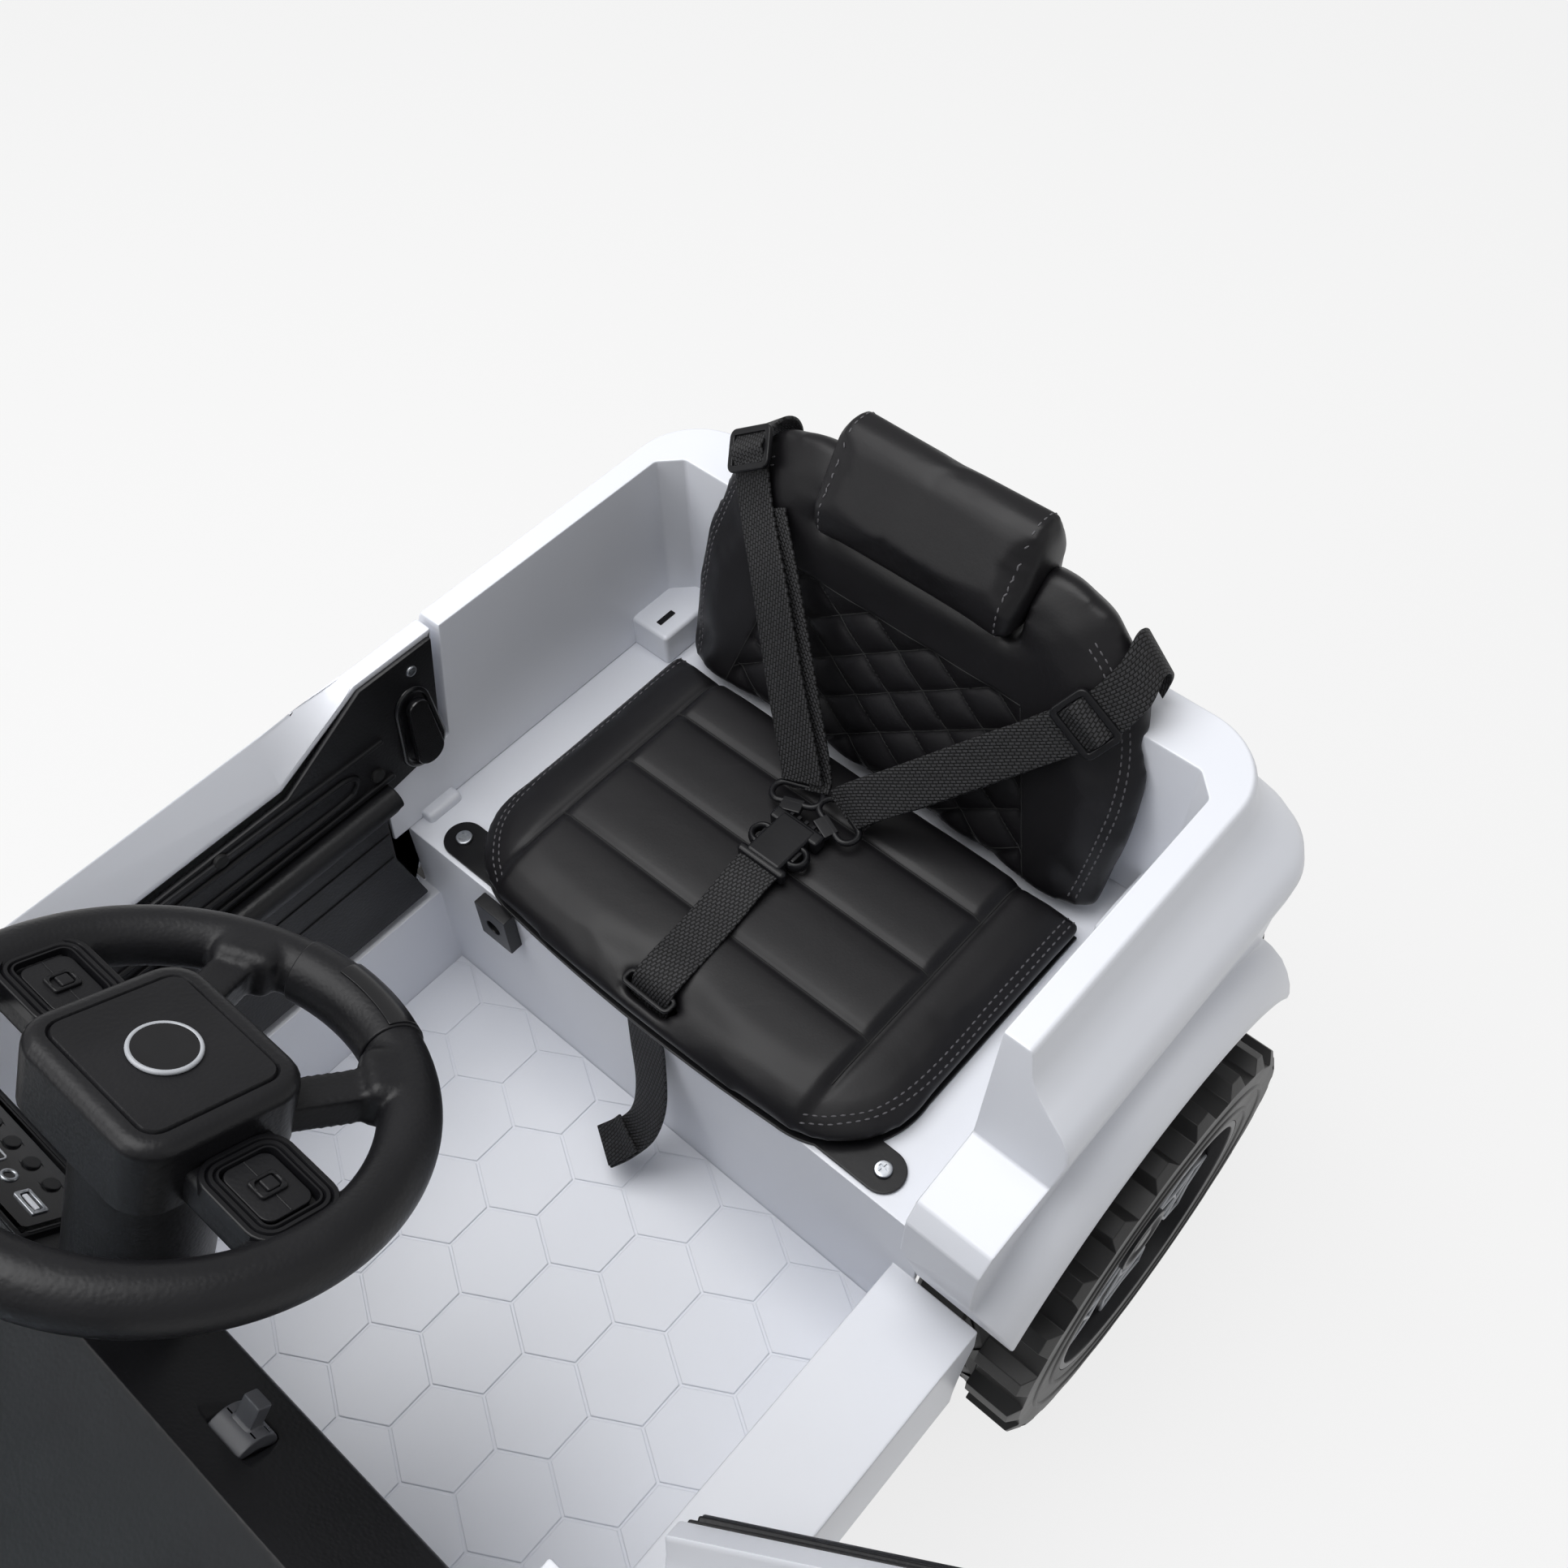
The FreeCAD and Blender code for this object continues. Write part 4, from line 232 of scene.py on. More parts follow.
def grained_black_plastic(name, dark, pale, grain, depth, low, high):
    """Injection-moulded black polypropylene with an etched leather grain that breaks up its sheen.
    The grain is drawn about twice its real size, so that it shows."""
    made, tree, shader = surface(name, IOR=1.5, Specular_IOR_Level=0.3)
    place = node(tree, "TexCoord").outputs["Object"]
    pebble = node(tree, "TexVoronoi", {"Vector": place, "Scale": 1 / (grain * mm), "Randomness": 1.0},
                  feature="SMOOTH_F1")
    cloud = node(tree, "TexNoise", {"Vector": place, "Scale": 1 / (45 * mm), "Detail": 4.0})
    tone = node(tree, "Mix", {0: cloud.outputs["Fac"], 6: linear(dark), 7: linear(pale)}, data_type="RGBA")
    tree.links.new(tone.outputs[2], shader.inputs["Base Color"])
    gloss = node(tree, "MapRange", {"Value": cloud.outputs["Fac"], "From Min": 0.3, "From Max": 0.7,
                                    "To Min": low, "To Max": high})
    tree.links.new(gloss.outputs["Result"], shader.inputs["Roughness"])
    bump = node(tree, "Bump", {"Height": pebble.outputs["Distance"], "Strength": 0.55,
                               "Distance": depth * mm})
    tree.links.new(bump.outputs["Normal"], shader.inputs["Normal"])
    return made


def polished_plastic(name, tone, rough):
    """Polished ABS: a deep even colour, with faint rub marks in its gloss."""
    made, tree, shader = surface(name, IOR=1.53)
    place = node(tree, "TexCoord").outputs["Object"]
    rub = node(tree, "TexNoise", {"Vector": place, "Scale": 1 / (9 * mm), "Detail": 5.0, "Roughness": 0.7})
    gloss = node(tree, "MapRange", {"Value": rub.outputs["Fac"], "To Min": rough, "To Max": rough + 0.14})
    tree.links.new(gloss.outputs["Result"], shader.inputs["Roughness"])
    shade = node(tree, "Mix", {0: rub.outputs["Fac"], 6: linear(tone[0]), 7: linear(tone[1])},
                 data_type="RGBA")
    tree.links.new(shade.outputs[2], shader.inputs["Base Color"])
    return made


def seat_leather():
    """Satin black artificial leather: a very fine pebble, a soft sheen and paler rubbed patches."""
    made, tree, shader = surface("artificial_leather", IOR=1.48, Specular_IOR_Level=0.34)
    place = node(tree, "TexCoord").outputs["Object"]
    pebble = node(tree, "TexVoronoi", {"Vector": place, "Scale": 1 / (1.3 * mm), "Randomness": 0.9},
                  feature="SMOOTH_F1")
    crease = node(tree, "TexNoise", {"Vector": place, "Scale": 1 / (35 * mm), "Detail": 5.0,
                                     "Distortion": 1.2})
    rub = node(tree, "TexNoise", {"Vector": place, "Scale": 1 / (80 * mm), "Detail": 3.0})
    tone = node(tree, "Mix", {0: rub.outputs["Fac"], 6: linear("#0E0D0F"), 7: linear("#161518")},
                data_type="RGBA")
    tree.links.new(tone.outputs[2], shader.inputs["Base Color"])
    gloss = node(tree, "MapRange", {"Value": rub.outputs["Fac"], "From Min": 0.3, "From Max": 0.7,
                                    "To Min": 0.4, "To Max": 0.52})
    tree.links.new(gloss.outputs["Result"], shader.inputs["Roughness"])
    fold = node(tree, "Bump", {"Height": crease.outputs["Fac"], "Strength": 0.12, "Distance": 1.5 * mm})
    bump = node(tree, "Bump", {"Height": pebble.outputs["Distance"], "Strength": 0.25, "Distance": 0.12 * mm,
                               "Normal": fold.outputs["Normal"]})
    tree.links.new(bump.outputs["Normal"], shader.inputs["Normal"])
    return made


def woven_webbing():
    """Black polypropylene webbing: staggered fat threads, with a painted highlight on their crowns and
    painted shade in the gaps between them.
    They are drawn about a third larger than they are, so that they show."""
    made, tree, shader = surface("woven_webbing", IOR=1.5, Roughness=0.6, Specular_IOR_Level=0.3)
    place = node(tree, "TexCoord").outputs["UV"]
    slanted = node(tree, "Mapping", {"Vector": place, "Rotation": (0, 0, 0.32)})
    thread = node(tree, "TexBrick", {"Vector": slanted.outputs["Vector"], "Color1": (1, 1, 1, 1),
                                     "Color2": (0.7, 0.7, 0.7, 1), "Mortar": (0, 0, 0, 1), "Scale": 1.0,
                                     "Mortar Size": 0.55 * mm, "Mortar Smooth": 0.8, "Bias": 0.0,
                                     "Brick Width": 3.4 * mm, "Row Height": 2.1 * mm})
    crown = node(tree, "RGBToBW", {"Color": thread.outputs["Color"]})
    # The tone runs from near black in the gaps between threads (painted shade) to dark grey on the thread
    # crowns (painted highlight).
    tone = node(tree, "Mix", {0: crown.outputs["Val"], 6: linear("#020202"), 7: linear("#333335")},
                data_type="RGBA")
    tree.links.new(tone.outputs[2], shader.inputs["Base Color"])
    bump = node(tree, "Bump", {"Height": crown.outputs["Val"], "Strength": 0.9, "Distance": 0.5 * mm})
    tree.links.new(bump.outputs["Normal"], shader.inputs["Normal"])
    return made


def tyre_plastic():
    """Blow-moulded black tyre: matt skin with fine grit, dusty grey on the rubbed lugs."""
    made, tree, shader = surface("moulded_tyre_plastic", IOR=1.48)
    place = node(tree, "TexCoord").outputs["Object"]
    grit = node(tree, "TexNoise", {"Vector": place, "Scale": 1 / (2.2 * mm), "Detail": 3.0})
    dust = node(tree, "TexNoise", {"Vector": place, "Scale": 1 / (40 * mm), "Detail": 4.0})
    tone = node(tree, "Mix", {0: dust.outputs["Fac"], 6: linear("#161617"), 7: linear("#2B2A2A")},
                data_type="RGBA")
    tree.links.new(tone.outputs[2], shader.inputs["Base Color"])
    gloss = node(tree, "MapRange", {"Value": dust.outputs["Fac"], "To Min": 0.36, "To Max": 0.62})
    tree.links.new(gloss.outputs["Result"], shader.inputs["Roughness"])
    bump = node(tree, "Bump", {"Height": grit.outputs["Fac"], "Strength": 0.35, "Distance": 0.25 * mm})
    tree.links.new(bump.outputs["Normal"], shader.inputs["Normal"])
    return made


def plated_steel():
    """Zinc-plated steel: bright grey metal with a faint spangle."""
    made, tree, shader = surface("zinc_plated_steel", Metallic=1.0)
    place = node(tree, "TexCoord").outputs["Object"]
    spangle = node(tree, "TexVoronoi", {"Vector": place, "Scale": 1 / (3 * mm)})
    tone = node(tree, "Mix", {0: spangle.outputs["Distance"], 6: linear("#BFC2C6"), 7: linear("#9FA3A9")},
                data_type="RGBA")
    tree.links.new(tone.outputs[2], shader.inputs["Base Color"])
    gloss = node(tree, "MapRange", {"Value": spangle.outputs["Distance"], "To Min": 0.25, "To Max": 0.42})
    tree.links.new(gloss.outputs["Result"], shader.inputs["Roughness"])
    return made


def tinted_clear(name, tone, rough, through):
    """Clear moulded acrylic: see-through with a crisp surface and faint flow marks."""
    made, tree, shader = surface(name, IOR=1.49, Roughness=rough, Transmission_Weight=through)
    place = node(tree, "TexCoord").outputs["Object"]
    flow = node(tree, "TexNoise", {"Vector": place, "Scale": 1 / (30 * mm), "Detail": 2.0})
    shade = node(tree, "Mix", {0: flow.outputs["Fac"], 6: linear(tone[0]), 7: linear(tone[1])},
                 data_type="RGBA")
    tree.links.new(shade.outputs[2], shader.inputs["Base Color"])
    bump = node(tree, "Bump", {"Height": flow.outputs["Fac"], "Strength": 0.05, "Distance": 0.5 * mm})
    tree.links.new(bump.outputs["Normal"], shader.inputs["Normal"])
    return made


white = gloss_white_plastic()
black = grained_black_plastic("grained_black_plastic", "#101012", "#19191C", grain=1.7, depth=0.2,
                              low=0.36, high=0.5)
satin_black = grained_black_plastic("satin_black_plastic", "#0D0D0F", "#151518", grain=2.4, depth=0.05,
                                    low=0.28, high=0.4)
gloss_black = polished_plastic("polished_black_plastic", ("#0B0B0D", "#131316"), 0.16)
grey = polished_plastic("satin_grey_plastic", ("#3D3E42", "#4A4B50"), 0.36)
silver = polished_plastic("silver_painted_plastic", ("#9A9DA3", "#B4B7BC"), 0.3)
dark_grey = polished_plastic("dark_grey_plastic", ("#1B1B1E", "#29292D"), 0.34)
leather = seat_leather()
webbing = woven_webbing()
thread = polished_plastic("sewing_thread", ("#454447", "#5C5B5F"), 0.55)
# Near-black, painted shade: the folds of the sunk seams and the insides of the door lining's holes.
seam_and_hole_shade = polished_plastic("sewn_seam_shadow", ("#050506", "#0A0A0B"), 0.7)
tyre_skin = tyre_plastic()
steel = plated_steel()
clear_lens = tinted_clear("clear_lens", ("#EEF1F4", "#F6F8FA"), rough=0.06, through=0.75)
red_lens = tinted_clear("red_lens", ("#7E0A0C", "#9A1012"), rough=0.12, through=0.25)
clear_pane = tinted_clear("smoked_clear_sheet", ("#C9D2D8", "#DDE4E8"), rough=0.04, through=0.9)
screen_glass = polished_plastic("display_glass", ("#08090B", "#0D0E11"), 0.08)
digit_glow = polished_plastic("display_digits", ("#8D2A22", "#A83A30"), 0.4)


# Moulded shells and simple solids

flat_angle = math.radians(0.8)

# node: (edge rounding in millimetres, finish)
moulded_edges = {
    "floor_tub": (1.5, white), "rear_body": (1.6, white), "front_body": (1.6, white),
    "hood_panel": (2.0, white), "door_shell_left": (1.6, white), "door_shell_right": (1.6, white),
    "grille": (1.2, black), "front_bumper": (2.2, black), "rear_bumper": (2.2, black),
    "windscreen_frame": (2.5, black), "windscreen_pane": (0.6, clear_pane),
    "headlights": (1.5, clear_lens), "tail_lights": (1.5, red_lens), "dashboard": (2.4, black),
    "radio_keys": (0.7, satin_black), "drive_selector": (1.2, grey), "seat_base": (0.7, satin_black),
    "charge_socket": (0.8, satin_black), "pedal": (1.2, black), "battery": (2.0, satin_black),
    "control_box": (2.0, satin_black), "gear_motor_left": (1.5, satin_black),
    "gear_motor_right": (1.5, satin_black), "door_trim_left": (1.2, black), "door_trim_right": (1.2, black),
    "door_latch_left": (1.4, gloss_black), "door_latch_right": (1.4, gloss_black),
    "hub_front_left": (1.2, dark_grey), "hub_front_right": (1.2, dark_grey),
    "hub_rear_left": (1.2, dark_grey), "hub_rear_right": (1.2, dark_grey),
    "tyre_front_left": (0.5, tyre_skin), "tyre_front_right": (0.5, tyre_skin),
    "tyre_rear_left": (0.5, tyre_skin), "tyre_rear_right": (0.5, tyre_skin),
}
slots = {entry["node"]: entry["material_slot"] for entry in frame["record"]["subparts"]}
for source, (edge, finish) in moulded_edges.items():
    piece = taken("moulded_" + source, source)
    edit_all(piece)
    bpy.ops.mesh.dissolve_limited(angle_limit=flat_angle)
    done_editing()
    rounded(piece, edge)
    dressed(piece, body_of(source), slots[source], finish, source)

# Turned and cut steel and the hidden gears keep their solids
kept = {"steering_column": satin_black, "tie_rod": steel, "front_axle_beam": steel, "rear_axle": steel,
        "knuckle_left": steel, "knuckle_right": steel, "motor_pinion_left": steel,
        "motor_pinion_right": steel, "drive_gear_left": grey, "drive_gear_right": grey}
for source, finish in kept.items():
    frame["nodes"][source].data.materials.clear()
    frame["nodes"][source].data.materials.append(finish)


# Seat pads

lean = math.radians(14)
back_up = Vector((0, math.sin(lean), math.cos(lean)))
back_out = Vector((0, -math.cos(lean), math.sin(lean)))
back_foot = Vector((0, 408, 303)) * mm
back_face = 34
cushion_base = 292.6
panel_half = 119
channels = (232, 285, 332)
quilt_wide, quilt_high, quilt_x, quilt_top = 43.5, 31, 22, 110.5
fill_pressure, fill_steps = 4, 20


def bell(distance, width):
    """A smooth bump: 1 in its middle, and near nothing beyond its width."""
    return math.exp(-(distance / width) ** 2)


def ramp(value, low, high):
    """A soft step from 0 at the low value to 1 at the high one."""
    t = min(1, max(0, (value - low) / (high - low)))
    return t * t * (3 - 2 * t)


def quilt_edge(height):
    """Half the quilted panel's width, which narrows up the backrest."""
    return 117 - 33 * height / quilt_top


def stuffed(name, source, smaller, voxel, cap, softening):
    """A pad blown up from a slightly smaller copy of its solid, as foam fills its cover."""
    piece = taken(name, source)
    edit_all(piece)
    bpy.ops.transform.shrink_fatten(value=-smaller * mm)
    done_editing()
    shaped(piece, "REMESH", mode="VOXEL", voxel_size=voxel * mm)
    rest = [corner.co.copy() for corner in piece.data.vertices]
    alone(piece)
    filling = piece.modifiers.new("filling", "CLOTH")
    filling.settings.use_pressure = True
    filling.settings.uniform_pressure_force = fill_pressure
    filling.settings.effector_weights.gravity = 0
    filling.settings.quality = 4
    for step in range(1, fill_steps + 1):
        scene.frame_set(step)
    bpy.ops.object.modifier_apply(modifier=filling.name)
    scene.frame_set(1)
    for corner, before in zip(piece.data.vertices, rest):
        way = corner.co - before
        if way.length > cap * mm:
            corner.co = before + way * (cap * mm / way.length)
    shaped(piece, "SMOOTH", factor=0.5, iterations=softening)
    shaped(piece, "SUBSURF", levels=1, render_levels=1)
    bpy.ops.object.shade_smooth()
    return piece


def make_cushion():
    """The seat cushion: a flat middle panel with three sewn channels, lower sides and a rolled front."""
    piece = stuffed("seat_cushion_pad", "seat_cushion", smaller=1.5, voxel=4, cap=3, softening=3)
    panel_rise, side_drop, seam_sink = 2.0, 1.6, 2.0
    channel_sink, channel_dip, rear_push = 1.5, 0.9, 3
    for corner in piece.data.vertices:
        x, y, z = corner.co / mm
        top = ramp(z, cushion_base + 8, cushion_base + 18)
        middle = 1 - ramp(abs(x), panel_half - 7, panel_half + 2)
        lift = top * (middle * panel_rise - (1 - middle) * side_drop)
        lift -= top * seam_sink * bell(abs(x) - panel_half, 3) * ramp(y, 188, 204)
        for channel in channels:
            lift -= top * middle * (channel_sink * bell(y - channel, 2.4)
                                     + channel_dip * bell(y - channel, 10))
        y += rear_push * ramp(y, 350, 372)
        corner.co = Vector((x, y, max(cushion_base, z + lift))) * mm
    return dressed(piece, "chassis", "seat_leather", leather, "seat_cushion")


def make_backrest():
    """The backrest: smooth side bolsters round a panel of softly puffed diamond quilting."""
    piece = stuffed("seat_back_pad", "seat_back", smaller=1.5, voxel=4, cap=3, softening=4)
    puff_rise, panel_sink = 3.6, 3.4
    foot_drop, foot_high = 9, 30
    for corner in piece.data.vertices:
        way = corner.co - back_foot
        x = corner.co.x / mm
        height = way.dot(back_up) / mm
        depth = way.dot(back_out) / mm
        front = ramp(depth, 20, 28)
        edge = quilt_edge(height)
        panel = (1 - ramp(abs(x), edge - 3, edge + 1)) * (1 - ramp(height, quilt_top - 2, quilt_top + 1))
        panel *= ramp(height, -6, 2)
        rising = (x - quilt_x) / quilt_wide + (height - quilt_top) / quilt_high
        falling = (x - quilt_x) / quilt_wide - (height - quilt_top) / quilt_high
        puff = abs(math.sin(math.pi * rising)) * abs(math.sin(math.pi * falling))
        corner.co += back_out * (front * panel * (puff_rise * puff ** 0.5 - panel_sink) * mm)
        if height < foot_high:
            corner.co -= back_up * (foot_drop * (1 - ramp(height, -4, foot_high)) * mm)
    return dressed(piece, "chassis", "seat_leather", leather, "seat_back")


def make_headrest():
    """The headrest: leather drawn over a foam core, flat at its ends."""
    piece = stuffed("headrest_pad", "headrest", smaller=1.0, voxel=3, cap=2, softening=2)
    for corner in piece.data.vertices:
        crown = bell(corner.co.z / mm - 500, 30)
        corner.co.x *= 1 + 0.02 * crown
    return dressed(piece, "chassis", "seat_leather", leather, "headrest")


cushion = make_cushion()
backrest = make_backrest()
headrest = make_headrest()


# Sewing

stitch_size = (3.4, 1.1, 0.9)
stitch_pitch = 5.0
seam_pitch = 3.0
stand_off = 60


def smooth_line(points, steps):
    """Points on a smooth line through given ones."""
    ends = [points[0] * 2 - points[1]] + list(points) + [points[-1] * 2 - points[-2]]
    line = []
    for i in range(1, len(ends) - 2):
        a, b, c, d = ends[i - 1:i + 3]
        for step in range(steps):
            t = step / steps
            line.append(0.5 * (2 * b + (c - a) * t + (2 * a - 5 * b + 4 * c - d) * t * t
                               + (3 * b - a - 3 * c + d) * t ** 3))
    return line + [points[-1]]


def spaced(line, pitch):
    """Even places along a line, each with its direction."""
    places = []
    left = 0
    for a, b in zip(line, line[1:]):
        run = (b - a).length
        while left < run:
            places.append((a + (b - a) * (left / run), (b - a).normalized()))
            left += pitch
        left -= run
    return places


def stitched(name, rows, pad, towards):
    """Rows of thread stitches laid on a pad, found by looking along a direction."""
    seed = start(name, bpy.ops.mesh.primitive_uv_sphere_add, segments=8, ring_count=5, radius=0.5,
                 scale=[v * mm for v in stitch_size])
    bpy.context.view_layer.update()
    stitches = []
    for row in rows:
        for place, way in spaced(row, stitch_pitch * mm):
            hit, spot, normal, index = pad.ray_cast(place - towards * stand_off * mm, towards)
            if not hit:
                continue
            way = (way - normal * way.dot(normal)).normalized()
            side = normal.cross(way)
            turn = Matrix((way, side, normal)).transposed().to_4x4()
            stitches.append(copied(seed, name, Matrix.Translation(spot + normal * 0.1 * mm) @ turn))
    bpy.data.objects.remove(seed)
    piece = joined(name, stitches)
    bpy.ops.object.shade_smooth()
    return dressed(piece, "chassis", "webbing", thread)


def rods(name, lines, radius, closed=False):
    """Round rods bent along lines, made a mesh."""
    path = bpy.data.curves.new(name, "CURVE")
    path.dimensions = "3D"
    path.bevel_depth = radius * mm
    path.bevel_resolution = 2
    path.use_fill_caps = True
    for line in lines:
        spline = path.splines.new("POLY")
        spline.points.add(len(line) - 1)
        spline.use_cyclic_u = closed
        for point, spot in zip(spline.points, line):
            point.co = (*spot, 1)
    piece = bpy.data.objects.new(name, path)
    scene.collection.objects.link(piece)
    alone(piece)
    bpy.ops.object.convert(target="MESH")
    bpy.ops.object.shade_smooth()
    return bpy.context.object


def seamed(name, rows, pad, towards, radius=0.7):
    """Sunk seams: a near-black rod drawn along each row of a pad and sunk a little into it, as painted shade
    in the seam's fold.
    """
    bpy.context.view_layer.update()
    lines = []
    for row in rows:
        line = []
        for place, way in spaced(row, seam_pitch * mm):
            hit, spot, normal, index = pad.ray_cast(place - towards * stand_off * mm, towards)
            if hit:
                line.append(spot - normal * (radius * 0.45 * mm))
        if len(line) > 2:
            lines.append(line)
    return dressed(rods(name, lines, radius), "chassis", "seat_leather", seam_and_hole_shade)


def flat(points):
    """Places over the cushion, from (x, y)."""
    return [Vector((x, y, 330)) * mm for x, y in points]


def on_back(points):
    """Places on the plane of the backrest's face, from (x, height up it)."""
    face = back_foot + back_out * (back_face * mm)
    return [face + Vector((x, 0, 0)) * mm + back_up * (h * mm) for x, h in points]


down = Vector((0, 0, -1))
cushion_rows = []
for side in (-1, 1):
    for inset in (9, 13):
        outline = [(165 - inset, 372), (165 - inset, 300), (165 - inset, 240), (158 - inset * 0.95, 208),
                   (141 - inset * 0.8, 182 + inset * 0.5), (122 - inset * 0.4, 168 + inset * 0.8)]
        cushion_rows.append(smooth_line(flat([(side * x, y) for x, y in outline]), 12))
stitched("cushion_stitches", cushion_rows, cushion, down)
channel_rows = [flat([(-panel_half, y), (panel_half, y)]) for y in channels]
side_rows = [flat([(side * panel_half, 200), (side * panel_half, 372)]) for side in (-1, 1)]
seamed("cushion_seams", channel_rows + side_rows, cushion, down)

back_rows = []
for side in (-1, 1):
    for inset in (13, 17):
        outline = [(162 - inset, 4), (166 - inset, 50), (165 - inset, 91), (153 - inset, 133),
                   (139 - inset, 159 - inset * 0.4), (124 - inset, 173 - inset * 0.5)]
        back_rows.append(smooth_line(on_back([(side * x, h) for x, h in outline]), 12))
stitched("backrest_stitches", back_rows, backrest, -back_out)

quilt_rows = [on_back([(-quilt_edge(quilt_top), quilt_top), (quilt_edge(quilt_top), quilt_top)])]
for side in (-1, 1):
    quilt_rows.append(on_back([(side * quilt_edge(0), 0), (side * quilt_edge(quilt_top), quilt_top)]))
    for index in range(-9, 10):
        row = []
        for step in range(-120, 121, 2):
            h = quilt_top + quilt_high * (index - side * (step - quilt_x) / quilt_wide)
            if -2 < h < quilt_top and abs(step) < quilt_edge(h):
                row.append((step, h))
        if len(row) > 3:
            quilt_rows.append(on_back([row[0], row[-1]]))
seamed("quilting_seams", quilt_rows, backrest, -back_out, 0.55)

head_rows = []
head_tops = []
for side in (-1, 1):
    head_rows.append([Vector((side * 61, 390, z)) * mm for z in (447, 500)])
    head_tops.append([Vector((side * 61, y, 530)) * mm for y in (408, 450)])
stitched("headrest_front_stitches", head_rows, headrest, Vector((0, 1, 0)))
stitched("headrest_top_stitches", head_tops, headrest, down)


# Harness

def strip(name, stations, width, thick, steps=14):
    """Webbing laid through stations of (middle, width way), with its weave running along it."""
    middles = smooth_line([Vector(m) * mm for m, across in stations], steps)
    ways = smooth_line([Vector(across) for m, across in stations], steps)
    count = len(middles) - 1
    piece = start(name, bpy.ops.mesh.primitive_grid_add, x_subdivisions=count, y_subdivisions=6, size=1)
    run = [0]
    for a, b in zip(middles, middles[1:]):
        run.append(run[-1] + (b - a).length)
    where = []
    for corner in piece.data.vertices:
        index = round((corner.co.x + 0.5) * count)
        share = corner.co.y
        where.append((run[index], share * width * mm))
        corner.co = middles[index] + ways[index].normalized() * (share * width * mm)
    layer = piece.data.uv_layers.active
    for loop in piece.data.loops:
        layer.data[loop.index].uv = where[loop.vertex_index]
    shaped(piece, "SOLIDIFY", thickness=thick * mm, offset=0, use_even_offset=True)
    shaped(piece, "BEVEL", width=0.5 * mm, segments=2, limit_method="ANGLE", angle_limit=math.radians(50))
    bpy.ops.object.shade_smooth_by_angle(angle=math.radians(60))
    return piece


webbing_wide, webbing_thick = 28, 1.9
tail_wide, fold_thick = 27, 1.8
right_across = (0.76, 0.1, 0.63)
left_across = (0.72, -0.05, -0.69)
right_run = [((-125.5, 446, 446), right_across), ((-126.2, 449.5, 460), right_across),
             ((-127, 444, 472), right_across), ((-128, 432.5, 477), right_across),
             ((-126, 418.5, 473.5), (0.82, 0.08, 0.56)), ((-111.5, 404, 446), (0.85, 0.08, 0.52)),
             ((-81, 379.5, 423), (0.85, 0.11, 0.51)), ((-47, 354, 379), (0.86, 0.18, 0.48)),
             ((-20, 335, 345), (0.87, 0.22, 0.4)), ((-14, 330, 336), (0.9, 0.2, 0.3))]
left_run = [((134, 446, 440), left_across), ((135.4, 449, 452), left_across),
            ((136.4, 444, 464), left_across), ((137, 433, 470.5), left_across),
            ((137.4, 418.5, 457.5), (0.8, 0.0, -0.6)), ((123.9, 402.5, 433.5), (0.84, -0.02, -0.54)),
            ((87, 377.5, 399.5), (0.84, -0.12, -0.53)), ((50, 352.5, 365.5), (0.85, -0.2, -0.48)),
            ((26, 336, 345), (0.87, -0.22, -0.42)), ((18, 331, 336), (0.9, -0.2, -0.34))]
for name, run in (("right", right_run), ("left", left_run)):
    strap = strip("shoulder_webbing_" + name, run, webbing_wide, webbing_thick)
    dressed(strap, "chassis", "webbing", webbing, "shoulder_strap_" + name)

# The folded-back lower layer of each shoulder strap
right_fold = [((-10, 331, 330), (0.9, 0.2, 0.3)), ((-13, 338, 338), (0.86, 0.22, 0.42)),
              ((-40, 358, 377), (0.86, 0.18, 0.48)), ((-74, 383.5, 421), (0.85, 0.11, 0.51)),
              ((-103, 405.5, 447), (0.85, 0.08, 0.52))]
left_fold = [((18, 331, 330), (0.9, -0.2, -0.34)), ((27, 341, 342), (0.87, -0.22, -0.42)),
             ((51, 358, 362), (0.85, -0.2, -0.48)), ((88, 383, 396), (0.84, -0.12, -0.53)),
             ((116, 402, 424), (0.84, -0.02, -0.54))]
for name, run in (("right", right_fold), ("left", left_fold)):
    strap = strip("folded_webbing_" + name, run, webbing_wide, fold_thick)
    dressed(strap, "chassis", "webbing", webbing)

crotch_run = [((2, 274, 327.5), (1, 0, 0)), ((2, 262, 326.5), (1, 0, 0)),
              ((3, 240, 322.5), (1, 0.03, 0.02)), ((4.5, 214, 321), (1, 0.05, 0.02)),
              ((5.5, 194, 321), (1, 0.02, 0)), ((5.5, 181, 317), (1, 0, 0)),
              ((5.5, 176.5, 306), (1, 0, 0)), ((5.5, 176, 293.5), (1, 0, 0))]
tail_run = [((5.5, 169.6, 288), (1, 0, 0)), ((9, 166, 262), (1, 0.02, 0)),
            ((14.5, 158.5, 228), (0.98, -0.1, 0.03)), ((13, 150, 200), (0.95, -0.28, 0.05)),
            ((4, 140, 181), (0.88, -0.42, -0.05)), ((-5, 131, 170), (0.85, -0.5, -0.1))]
hem_run = [((-6, 130.5, 172.5), (0.85, -0.5, -0.1)), ((2, 138.5, 181.5), (0.88, -0.42, -0.05)),
           ((6, 142.5, 189), (0.9, -0.38, 0))]
crotch = joined("crotch_webbing", [strip("crotch_webbing", crotch_run, webbing_wide, webbing_thick),
                                  strip("tail", tail_run, tail_wide, fold_thick),
                                  strip("hem", hem_run, tail_wide, fold_thick)])
dressed(crotch, "chassis", "webbing", webbing, "crotch_strap")


def block(name, size, place, edge, steps=3):
    """A moulded block: a box with all its edges rounded."""
    piece = start(name, bpy.ops.mesh.primitive_cube_add, size=1, scale=[v * mm for v in size],
                  location=[v * mm for v in place])
    return rounded(piece, edge, steps)


